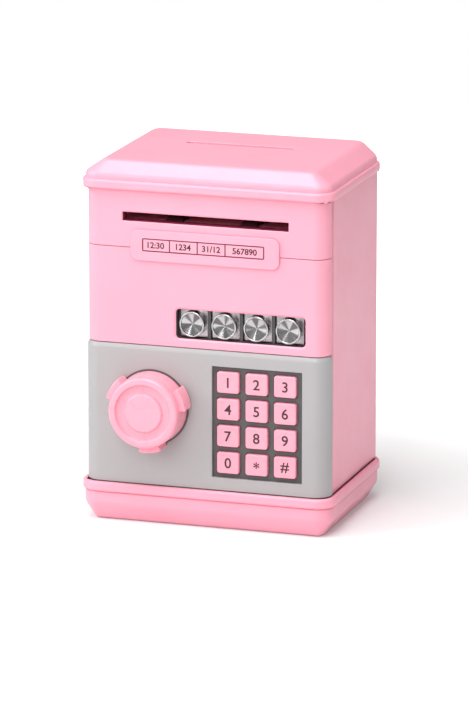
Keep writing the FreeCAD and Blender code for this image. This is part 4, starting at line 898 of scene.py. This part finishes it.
# the printed fields of the label
label = {"x": (-33.5, 31.9), "z": (144.4, 151.3), "splits": (-18.8, -3.9, 11.0), "line": 0.6, "corner": 0.9,
         "floor": -45.85, "sunk": 0.02, "proud": 0.1, "texts": ("12:30", "1234", "31/12", "567890"),
         "figure": 4.4, "bold": 0.10}


def makeLabel():
    bm = bmesh.new()
    (left, right), (low, high), line = label["x"], label["z"], label["line"]
    back, face = -label["floor"] - label["sunk"], -label["floor"] + label["proud"]
    rings = []
    for grow, level in ((0, back), (0, face), (-line, face), (-line, back)):
        x, z = (left - grow, right + grow), (low - grow, high + grow)
        rings.append(outline(bm, x, z, level, label["corner"] + grow, 4))
    standUp(bm, [e for ring in rings for e in ring])
    bridge(bm, *rings, rings[0])
    for split in label["splits"]:
        x, z = (split - line / 2, split + line / 2), (low + line, high - line)
        addTo(bm, bevelledBlock(x, (-face, -back), z, 0.03, 1))
    finishPiece(bm, "fieldLines", "door", "frameInk")
    edges = (left, *label["splits"], right)
    figures = bmesh.new()
    for text, start, end in zip(label["texts"], edges, edges[1:]):
        words = figureMesh(text, label["figure"], 0.04, label["bold"])
        moveAll(words, (start + end) / 2, label["floor"] - label["sunk"], (low + high) / 2)
        addTo(figures, words)
    finishPiece(figures, "fieldFigures", "door", "keyInk")


makeLabel()
print("label made")


studio = {
    "floor": 1.1, "glowNear": 0.10, "glowFar": 0.80, "glowCast": 0.3, "glowReach": (0.16, 0.50), "air": 0.32,
    "lights": {
        "leftBox": {"round": -58, "up": 28, "away": 1.3, "width": 0.7, "height": 1.0, "power": 9.0},
        "frontBox": {"round": 0, "up": 34, "away": 1.6, "width": 0.7, "height": 0.9, "power": 9.8},
        "topBox": {"round": 0, "up": 74, "away": 1.3, "width": 1.0, "height": 0.7, "power": 14.0},
        "rightBox": {"round": 82, "up": 24, "away": 1.4, "width": 0.6, "height": 0.8, "power": 1.2},
        "edgeBox": {"round": 32, "up": 10, "away": 1.3, "width": 0.12, "height": 0.8, "power": 0.6},
    },
}


def makeStudio():
    bm = bmesh.new()
    bmesh.ops.create_circle(bm, cap_ends=True, radius=studio["floor"], segments=128)
    mesh = bpy.data.meshes.new("studioFloor")
    bm.to_mesh(mesh)
    bm.free()
    material, tree, shader = newMaterial("paleFloor")
    cloud = noise(tree, addNode(tree, "TexCoord").outputs["Object"], 3.0, 2.0)
    colour = mixColours(tree, cloud, (0.80, 0.80, 0.80), (0.83, 0.83, 0.83))
    tree.links.new(colour, shader.inputs["Base Color"])
    # the floor glows more further out, so that it fades into the backdrop
    place = addNode(tree, "VectorMath", operation="LENGTH")
    tree.links.new(addNode(tree, "TexCoord").outputs["Object"], place.inputs[0])
    glow = remap(tree, place.outputs["Value"], studio["glowNear"], studio["glowFar"], *studio["glowReach"])
    tree.links.new(glow, shader.inputs["Emission Color"])
    seen = addNode(tree, "LightPath").outputs["Is Camera Ray"]
    tree.links.new(remap(tree, seen, studio["glowCast"], 1.0), shader.inputs["Emission Strength"])
    setInputs(shader, {"Roughness": 0.9, "Specular IOR Level": 0.1})
    mesh.materials.append(material)
    floor = bpy.data.objects.new("studioFloor", mesh)
    floor.location.z = -0.0002
    bpy.context.scene.collection.objects.link(floor)
    world = bpy.data.worlds.new("studioAir")
    bpy.context.scene.world = world
    world.use_nodes = True
    tree = world.node_tree
    air = tree.nodes["Background"]
    air.inputs["Color"].default_value = (1, 1, 1, 1)
    seen = addNode(tree, "LightPath").outputs["Is Camera Ray"]
    tree.links.new(remap(tree, seen, studio["air"], 1.0), air.inputs["Strength"])
    for name, light in studio["lights"].items():
        lamp = bpy.data.lights.new(name, "AREA")
        lamp.shape, lamp.energy = "RECTANGLE", light["power"]
        lamp.size, lamp.size_y = light["width"], light["height"]
        holder = bpy.data.objects.new(name, lamp)
        a, e = math.radians(light["round"]), math.radians(light["up"])
        away = Vector((math.sin(a) * math.cos(e), -math.cos(a) * math.cos(e), math.sin(e)))
        holder.location = Vector((0, 0, 0.09)) + away * light["away"]
        holder.rotation_mode = "QUATERNION"
        holder.rotation_quaternion = away.to_track_quat("Z", "Y")
        bpy.context.scene.collection.objects.link(holder)


makeStudio()

view = {"round": 18.0, "up": 13.8, "away": 2.75, "aim": (0.0009, 0.0, 0.0838), "lens": 271.5}


def makeCamera():
    camera = bpy.data.cameras.new("viewCamera")
    camera.lens, camera.sensor_width = view["lens"], 36.0
    camera.clip_start, camera.clip_end = 0.05, 60.0
    holder = bpy.data.objects.new("viewCamera", camera)
    a, e = math.radians(view["round"]), math.radians(view["up"])
    back = Vector((math.sin(a) * math.cos(e), -math.cos(a) * math.cos(e), math.sin(e)))
    holder.location = Vector(view["aim"]) + back * view["away"]
    holder.rotation_mode = "QUATERNION"
    holder.rotation_quaternion = back.to_track_quat("Z", "Y")
    bpy.context.scene.collection.objects.link(holder)
    bpy.context.scene.camera = holder
    bpy.context.scene.view_settings.view_transform = "Standard"


makeCamera()
print("studio and camera made")
